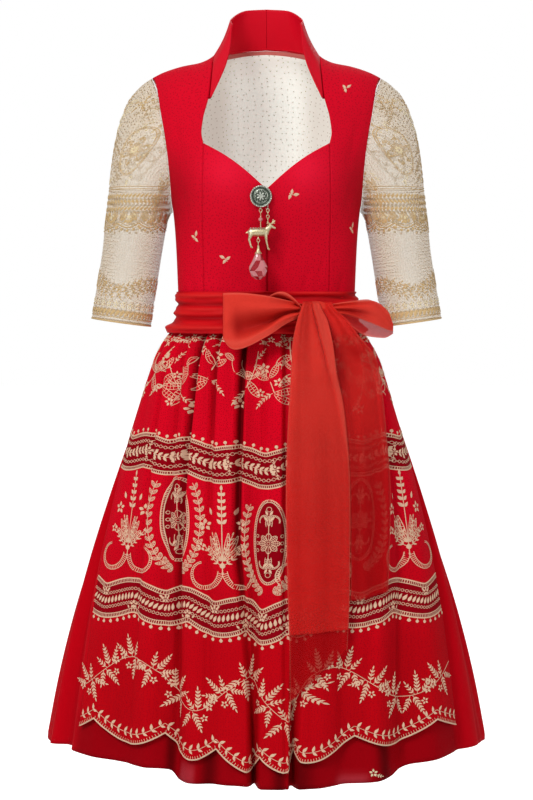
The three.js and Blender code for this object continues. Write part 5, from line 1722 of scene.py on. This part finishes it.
def branch_cluster(spot, flip):
    """Two feathery fronds and star flowers where a branch bends."""
    part = spot.at(0, 0, 0, 1, flip)
    for x, turn, length, pairs, leaf, bend in (
        (0, 1.3, 29, 5, 7.4, 0.15), (6, 0.55, 24, 4, 6.8, 0.3), (-4, 2.1, 20, 3, 6.4, -0.2),
        (-8, -1.2, 28, 5, 7.4, -0.2), (-12, -2.1, 22, 4, 6.6, -0.3),
    ):
        part.spray(x, 0, turn, length, pairs, leaf, bend)
    part.star(16, 2, 6.5)
    part.star(7, -13, 5.4)


def edging(cloth, a, b, gap, dots, side, dot_step=13.5):
    """A ladder edging along a line, with hanging or standing dots on its outer side."""
    cloth.line(a, b, 2.0, 0.9)
    cloth.line(a, b, 1.1, 0.6, up=-side * gap)
    for rung in cloth.walk(a, b, 3.1):
        rung.thread([[0, 0], [0, -side * gap]], 1.0, 0.4)
    for place in cloth.walk(a, b, dot_step, start=5) if dots else ():
        place.thread([[0, side * 0.6], [0, side * 4]], 0.9)
        place.dot(0, side * 5.6, 2.5)


def sheer_ground(name, low, high):
    """A darker sheer cloth laid on the apron under its stitches. low and high are its edges, lines (a, b)."""
    v = np.linspace(0, 1, 7)[None, :]
    a = mix(low[0][:, None], high[0][:, None], v)
    points = apron_point(a, mix(low[1][:, None], high[1][:, None], v), GROUND_LIFT).reshape(-1, 3)
    faces = grid_faces(*a.shape)[2]
    uvs = points[:, [0, 2]][faces] * MM
    return dress_piece(new_object(name, points, faces, [SHEER_RED], uvs=uvs), "apron_cloth")


# ---- Apron embroidery
APRON = Cloth(apron_point, 0.25, 4.0, "apron_cloth", lowest=0.25)
GROUND_LIFT = 0.1
UPPER_BAND = {"z": -609, "half": 26, "wave": 9, "sag": 0.75}
LOWER_BAND = {"z": -826, "half": 25, "wave": 15, "sag": 0.95}
TREES = (0.32, 2.15, 4.05, 5.82)
MEDALLIONS = (1.24, 3.1, 4.95)
MEDALLION_Z = -699
TREE_Z = -723
TREE_SIZE = 1.26
BRANCH = {"z": -938, "swing": 30, "turn": 0.55, "period": 2.05}


def band_edges(band, s):
    """The upper and lower edges of a waved band; its cusps point inwards, half a scallop apart."""
    middle = band["z"] - band["sag"] * sag(s)
    upper = middle + band["half"] + band["wave"] * (np.sqrt(np.sin(np.pi * s) ** 2 + 0.02) - 0.6)
    lower = middle - band["half"] - band["wave"] * (np.sqrt(np.cos(np.pi * s) ** 2 + 0.02) - 0.6)
    return upper, lower


def stitch_upper_band(s):
    """Between its edgings: a row of leaves with stars, and a row of rings above and below it."""
    upper, lower = band_edges(UPPER_BAND, s)
    ground = sheer_ground("upper_band_ground", (s, lower), (s, upper))
    edging(APRON, s, upper, 5, True, 1)
    edging(APRON, s, lower, 5, False, -1)
    middle = (upper + lower) / 2
    APRON.line(s, middle, 0.9)
    for n, place in enumerate(APRON.walk(s, middle, 8.2, start=3)):
        if n % 9 == 8:
            place.star(0, 0, 6.5)
            for side in (1, -1):
                place.spray(0, side * 5, side * math.pi / 2, 8, 1, 4.2, 0)
            continue
        for side in (1, -1):
            place.leaf(0, side * 0.6, side * 0.72, 8.4, 4.2)
            if n % 3 == 1:
                place.leaf(1, side * 5.5, side * 0.5, 6.4, 3.2)
    for shift in (-15, 15):
        for place in APRON.walk(s, middle, 7.4, up=shift):
            place.ring(0, 0, 2.3, 0.75)
            place.dot(3.7, 0, 0.9)
    return ground


def stitch_lower_band(s):
    """Between its edgings: slanting leaves between rows of rings, and a sprig at every cusp outside."""
    upper, lower = band_edges(LOWER_BAND, s)
    ground = sheer_ground("lower_band_ground", (s, lower), (s, upper))
    edging(APRON, s, upper, 6, False, 1)
    edging(APRON, s, lower, 6, True, -1, dot_step=12)
    middle = (upper + lower) / 2
    for place in APRON.walk(s, middle, 6.6, start=2):
        place.leaf(-2, -4.8, 1.2, 10.5, 4.6, height=0.9)
    for shift in (-10.5, 10.5):
        for place in APRON.walk(s, middle, 5.4, up=shift):
            place.ring(0, 0, 2.0, 0.75)
    for n, half in enumerate(np.arange(0, 6.4, 0.5)):
        line = upper if n % 2 == 0 else lower
        turn = -1 if n % 2 == 0 else 1
        at = np.interp(half, s, line)
        corner = APRON.spot(half, at)
        corner.star(0, turn * 12, 6.5)
        for lean in (-0.7, 0, 0.7):
            corner.leaf(12 * math.sin(lean), turn * 6, turn * math.pi / 2 - lean, 6, 3)
    return ground


def stitch_trees_and_medallions():
    grounds = []
    for n, s in enumerate(MEDALLIONS):
        spot = APRON.spot(s, MEDALLION_Z - 1.45 * sag(s), 0, 1.07)
        t = np.linspace(-0.98, 0.98, 41) * np.pi / 2
        a, b = s + 24.6 * np.sin(t) / spot.scale[0], 62 * np.cos(t) / spot.scale[1]
        name = "medallion_ground_%d" % (n + 1)
        grounds.append(sheer_ground(name, (a, spot.b - b), (a, spot.b + b)))
        medallion(spot)
        for side in (-1, 1):
            leafy_arch(spot.at(0, 2), 41, 74, side)
    for s in TREES:
        flower_tree(APRON.spot(s, TREE_Z - 1.1 * sag(s), 0, TREE_SIZE))
    return grounds


def stitch_waist_motifs():
    """Horn and leaf groups below a row of stars with sprays."""
    for n in range(11):
        flip = 1 if n % 4 < 2 else -1
        spot = APRON.spot(0.1 + 0.6 * n, -486 - 10 * (n % 3), 0.2 * (n % 3 - 1), 1.06, flip)
        (horn_group if n % 2 == 0 else leaf_group)(spot)
    for n in range(26):
        spot = APRON.spot(-0.16 + 0.25 * n, -431 - 4 * (n % 2), 0.5 * math.sin(2.4 * n))
        spot.star(0, 0, 5.5)
        spot.spray(4, -3, -0.7, 13, 2, 5.0, 0.4)
        spot.spray(-4, -3, math.pi + 0.7, 11, 2, 4.6, -0.4)


def stitch_branch(s):
    wave = np.cos(2 * np.pi * (s - BRANCH["turn"]) / BRANCH["period"])
    line = BRANCH["z"] + BRANCH["swing"] * wave - sag(s)
    APRON.line(s, line, 0.9, 0.5)
    for n, place in enumerate(APRON.walk(s, line, 46, start=14)):
        branch_cluster(place, 1 if n % 2 else -1)


def stitch_hem(s):
    """The corded scallops with their ticks, and a leafy line above them."""
    hem = apron_hem(s)
    APRON.line(s, hem, 2.2, 1.5, up=1.1)
    for tick in APRON.walk(s, hem, 4.2, start=1):
        tick.thread([[0, 2], [0, 6]], 0.7, 0.3)
    APRON.line(s, hem, 0.8, 0.4, up=15)
    for place in APRON.walk(s, hem, 13.0, start=5, up=15):
        place.leaf(0, 0.3, 1.15, 9.2, 4.2)
        place.leaf(0, -0.3, -0.75, 7.6, 3.6)


def embroider_apron():
    s = np.linspace(APRON_LEFT + 0.01, APRON_RIGHT - 0.01, 440)
    pieces = [stitch_upper_band(s), stitch_lower_band(s)]
    pieces.append(APRON.sew("embroidered_bands", CREAM_THREAD))
    pieces += stitch_trees_and_medallions()
    pieces.append(APRON.sew("embroidered_trees", CREAM_THREAD))
    stitch_waist_motifs()
    stitch_branch(s)
    stitch_hem(s)
    pieces.append(APRON.sew("embroidered_sprigs_and_hem", CREAM_THREAD))
    return pieces


# ---- Sleeve and bodice embroidery
SLEEVE_ROUND = 72
SLEEVE_DOWN = 60
# Height of the sleeve at each step round and down, to find a row again by its height.
SLEEVE_HEIGHTS = sleeve_point(*grid(SLEEVE_ROUND, SLEEVE_DOWN))[..., 2]
# Places round the sleeve: the ovals, the leafy stems beside them and the stars on the cap.
OVALS = (0.34, 0.68)
STEMS = (0.16, 0.5, 0.84)
CAP_STARS = (0.3, 0.42, 0.5, 0.58, 0.7)
OVAL_Z = -142
OVAL_SIZE = 0.8
RING_TILT = 47 * SLEEVE_TILT


def armhole_z(t):
    """Height of the armhole's edge at a place round it."""
    return np.interp(t, np.linspace(0, 1, SLEEVE_ROUND + 1), SLEEVE_HEIGHTS[:, 0])


def sleeve_row(t, z):
    """How far down the sleeve it is z high, at a place round it."""
    at = np.mod(t, 1.0) * SLEEVE_ROUND
    i = np.minimum(at.astype(int), SLEEVE_ROUND - 1)
    share = (at - i)[:, None]
    heights = SLEEVE_HEIGHTS[i] * (1 - share) + SLEEVE_HEIGHTS[i + 1] * share
    j = np.clip((heights > z[:, None]).sum(axis=1) - 1, 0, SLEEVE_DOWN - 1)
    k = np.arange(len(j))
    above, below = heights[k, j], heights[k, j + 1]
    return np.clip((j + (above - z) / np.maximum(1e-3, above - below)) / SLEEVE_DOWN, 0, 1)


def sleeve_cloth(side):
    """A sleeve to stitch on: a runs round it to the right as seen from outside, b is the height."""
    surface = sleeve_surface(side)

    def place(a, b, out):
        a, b, out = np.broadcast_arrays(*(np.asarray(one, float) for one in (a, b, out)))
        t = np.mod(a.ravel() if side > 0 else 1 - a.ravel(), 1.0)
        v = sleeve_row(t, b.ravel())
        step = 0.004
        along = surface(t + step, v) - surface(t - step, v)
        down = surface(t, np.minimum(v + step, 1)) - surface(t, np.maximum(v - step, 0))
        normals = unit(np.cross(down, along)) * side
        return (surface(t, v) + normals * out.ravel()[:, None]).reshape(a.shape + (3,))

    return Cloth(place, 0.01, 3.0, "sleeve_tulle", lowest=0.1)


def stitch_elbow_bands(cloth, side, a, scallop):
    """Rows of leaves and flowers above the scallops, as far round as they lie below the armhole."""
    def row_at(z):
        row = a[armhole_z(a) > z + 4]
        return row if side > 0 else 1 - row[::-1], np.full(len(row), z)

    for z in (-197, -201):
        cloth.line(*row_at(z), 1.0)
    cloth.line(a, scallop, 1.8, 0.7)
    cloth.line(a, scallop, 0.9, 0.4, up=4)
    for place in cloth.walk(a, scallop, 8.2, start=2):
        place.dot(0, -5, 2.1)
        place.leaf(-2, 6, 0.9, 8, 4)
    for z, lean in ((-211, 0.9), (-221, -0.9), (-231, 0.9)):
        cloth.line(*row_at(z), 0.9)
        for place in cloth.walk(*row_at(z), 6.4, start=3):
            place.leaf(-2, -3.6 * np.sign(lean), lean, 8.6, 4.2)
    for place in cloth.walk(a, np.full(len(a), -243), 17, start=6):
        place.daisy(0, 0, 7.5, 7)


def stitch_garland_and_cuff(cloth, a, garland, cuff):
    """A waved garland round the lower sleeve, and the cuff's corded edge with its leaves."""
    cloth.line(a, garland, 0.9)
    for n, place in enumerate(cloth.walk(a, garland, 11, start=4)):
        place.spray(0, 0, 0.8, 13, 2, 5.2, 0.3)
        place.spray(0, 0, -0.8, 13, 2, 5.2, -0.3)
        if n % 3 == 0:
            place.star(3, 6, 5)
    cloth.line(a, cuff, 1.8, 0.8)
    cloth.line(a, cuff, 0.9, up=5)
    for place in cloth.walk(a, cuff, 7.6, start=3, up=11):
        place.leaf(0, -5, 1.0, 9.5, 4.8)
        place.leaf(1, -1, 0.3, 7.5, 3.8)


def stitch_cap(cloth, about):
    """Ovals with a flower and curls, leafy stems beside them, and stars with fronds above."""
    for t in OVALS:
        spot = cloth.spot(about(t), OVAL_Z, 0.0, OVAL_SIZE)
        spot.ladder(oval_line(29, 50), 3.4, 2.6, 0.9)
        spot.daisy(0, 2, 17)
        for heading in np.arange(0, 2 * np.pi, np.pi / 3):
            spot.hook(15 * math.cos(heading), 18 * math.sin(heading), heading, 22, 3.4, 3.4)
            between = heading + 0.5
            spot.spray(12 * math.cos(between), 20 * math.sin(between), heading, 12, 2, 4.8, 0.3)
    for t in STEMS:
        stem = cloth.spot(about(t), -150)
        stem.thread(spine(78, 0.5, 12) @ np.array([[0, 1], [-1, 0]]) + [4, -42], 1.1)
        for n in range(6):
            for lean in (0.8, -0.8):
                stem.open_leaf(4 - n * 0.9, -38 + 12 * n, math.pi / 2 + lean, 11, 5.5, 0.3)
    for t in CAP_STARS:
        cap = cloth.spot(about(t), -62 - 60 * abs(t - 0.5))
        cap.star(0, 0, 8)
        for turn in (0.5, 1.7, 2.9, 4.1, 5.3):
            cap.spray(*beside(0, 0, 7, turn), turn, 12, 2, 5, 0.3)


def stitch_pale_thread_and_highlights(cloth, about, a, scallop, cuff):
    """Pale sprigs strewn over the cap, and pale stitches on the scallops, the cuff and the ovals. The smaller
    pale dots on the scallops' gold dots are painted highlights; the rest is stitching in a paler thread.
    """
    for n in range(150):
        t, z = 0.04 + 0.92 * (n * 0.618 % 1), -58 - 128 * (n * 0.3247 % 1)
        in_oval = min(abs(t - oval_t) for oval_t in OVALS) < 0.1 and abs(z - OVAL_Z) < 42
        if z < armhole_z(t) - 8 and not in_oval:
            spot = cloth.spot(about(t), z, 2.4 * n)
            spot.spray(0, 0, 0, 10, 2, 4.8, 0.5)
            spot.star(-3, 3, 3.4)
    for place in cloth.walk(a, scallop, 8.2, start=2):
        place.dot(0, -5, 1.7)
        place.leaf(2, 13, 1.9, 6, 3)
    for place in cloth.walk(a, cuff, 12, start=6, up=19):
        place.star(0, 0, 4.4)
    for t in OVALS:
        spot = cloth.spot(about(t), OVAL_Z, 0.0, OVAL_SIZE)
        for heading in np.arange(0, 2 * np.pi, np.pi / 7):
            spot.dot(25 * math.sin(heading), 44 * math.cos(heading), 1.9)
        spot.star(0, 2, 9, 8)


def embroider_sleeve(side, label):
    cloth = sleeve_cloth(side)
    a = np.linspace(0, 1, 200)
    tilt = -RING_TILT * np.cos(2 * np.pi * a)
    scallop = -254 - 7 * np.abs(np.sin(np.pi * 9 * a))
    garland = -354 + 9 * np.sin(2 * np.pi * 2.5 * a) + tilt
    cuff = SLEEVE[-1]["z"] + tilt + 1.2

    def about(t):
        return t if side > 0 else 1 - t

    stitch_elbow_bands(cloth, side, a, scallop)
    stitch_garland_and_cuff(cloth, a, garland, cuff)
    stitch_cap(cloth, about)
    pieces = [cloth.sew("sleeve_embroidery_" + label, GOLD_THREAD)]
    stitch_pale_thread_and_highlights(cloth, about, a, scallop, cuff)
    return pieces + [cloth.sew("sleeve_highlights_" + label, PALE_GOLD_THREAD)]


def bodice_place(a, b, out):
    """The bodice as a cloth: a is the angle and b the height."""
    step = 0.02
    points = body_point(a, b)
    along = body_point(a + step, b) - body_point(a - step, b)
    upwards = body_point(a, b + 2) - body_point(a, b - 2)
    normals = unit(np.cross(along, upwards))
    return bodice_creases(points, normals) + normals * np.asarray(out)[..., None]


# Places of the small sprigs on the bodice: across, up, on the back or not, and how far they are turned.
SPRIGS = [
    (124, -46, False, 0.3), (40, -214, False, -0.4), (-64, -310, False, 2.2), (-110, -276, False, 0.8),
    (134, -262, False, 0.9),
    (0, -60, True, 0.4), (90, -120, True, 1.6), (-90, -130, True, 2.9), (0, -210, True, 2.0),
    (100, -270, True, 0.5), (-100, -280, True, 1.2), (10, -340, True, 2.6),
]


def embroider_bodice():
    cloth = Cloth(bodice_place, 0.02, 3.0, "bodice_jacquard", lowest=0.2)
    for x, z, back, turn in SPRIGS:
        spot = cloth.spot(float(angle_at(x, z, back)), z, turn)
        spot.thread([[-6, 0], [0, 0], [4, 1]], 1.0)
        spot.leaf(1, 0.5, 0.5, 9, 5.0)
        spot.leaf(-2, 0.3, 1.9, 8, 4.6)
        spot.leaf(-3, -0.3, -1.5, 8.5, 4.6)
    cloth.sew("bodice_sprigs", CREAM_THREAD)
    # A dark line beside the front opening: painted shadow of its edge.
    z = np.linspace(-372, -292, 20)
    cloth.line(angle_at(np.full(20, 1.6), z), z, 1.5, 0.2)
    cloth.sew("painted_shadow_beside_the_front_opening", SEAM_SHADOW)


embroider_bodice()
make_bodice()
make_collar()
make_sleeves()
make_skirt()
make_apron()
make_sash()
make_big_loop()
make_small_loop()
make_knot()
make_tails()
make_button()
make_stag()
make_drop()


# ---- Stage, light and camera
FLOOR_Z = -1.5
AMBIENT = 0.4
# Name, place, power and size of the soft lights, and where they aim.
LAMPS = [
    ("key_light", (-1.5, -2.6, 1.7), 66, 1.1),
    ("fill_light", (2.4, -2.4, 0.3), 16, 1.6),
    ("rim_light", (0.4, 2.6, 1.4), 22, 1.6),
]
AIM = Vector((0, 0, -0.5))


def make_floor():
    bpy.ops.mesh.primitive_plane_add(size=40, location=(0, 0, FLOOR_Z))
    floor = bpy.context.object
    floor.name = "pale_floor"
    material, tree, shader = new_material("pale_floor")
    shader.inputs["Base Color"].default_value = (0.9, 0.9, 0.9, 1)
    shader.inputs["Emission Color"].default_value = (1, 1, 1, 1)
    seen = node(tree, "ShaderNodeLightPath").outputs["Is Camera Ray"]
    tree.links.new(math_node(tree, "MULTIPLY", seen, 0.8), shader.inputs["Emission Strength"])
    floor.data.materials.append(material)


def make_light():
    world = bpy.data.worlds.new("studio")
    bpy.context.scene.world = world
    world.use_nodes = True
    tree = world.node_tree
    seen = node(tree, "ShaderNodeLightPath").outputs["Is Camera Ray"]
    strength = math_node(tree, "MAXIMUM", seen, AMBIENT)
    tree.links.new(strength, tree.nodes["Background"].inputs["Strength"])
    tree.nodes["Background"].inputs["Color"].default_value = (1, 1, 1, 1)
    for name, place, energy, size in LAMPS:
        data = bpy.data.lights.new(name, "AREA")
        data.energy, data.size = energy, size
        lamp = bpy.data.objects.new(name, data)
        bpy.context.scene.collection.objects.link(lamp)
        lamp.location = place
        lamp.rotation_euler = (AIM - lamp.location).to_track_quat("-Z", "Y").to_euler()


def make_camera():
    """Eye level is above the frame's middle: the camera looks slightly down, 2.8 m from the dress."""
    distance, eye_z, focal_pixels, tall_pixels = 2.8, -0.374, 1750, 800
    eye_row, middle_row = 300, 400
    data = bpy.data.cameras.new("camera")
    data.sensor_width = 36
    data.lens = focal_pixels / tall_pixels * data.sensor_width
    camera = bpy.data.objects.new("camera", data)
    bpy.context.scene.collection.objects.link(camera)
    camera.location = (0, -distance, eye_z)
    down = math.atan((middle_row - eye_row) / focal_pixels)
    camera.rotation_euler = (math.pi / 2 - down, 0, 0)
    bpy.context.scene.camera = camera


make_floor()
make_light()
make_camera()
bpy.context.scene.view_settings.view_transform = "Standard"
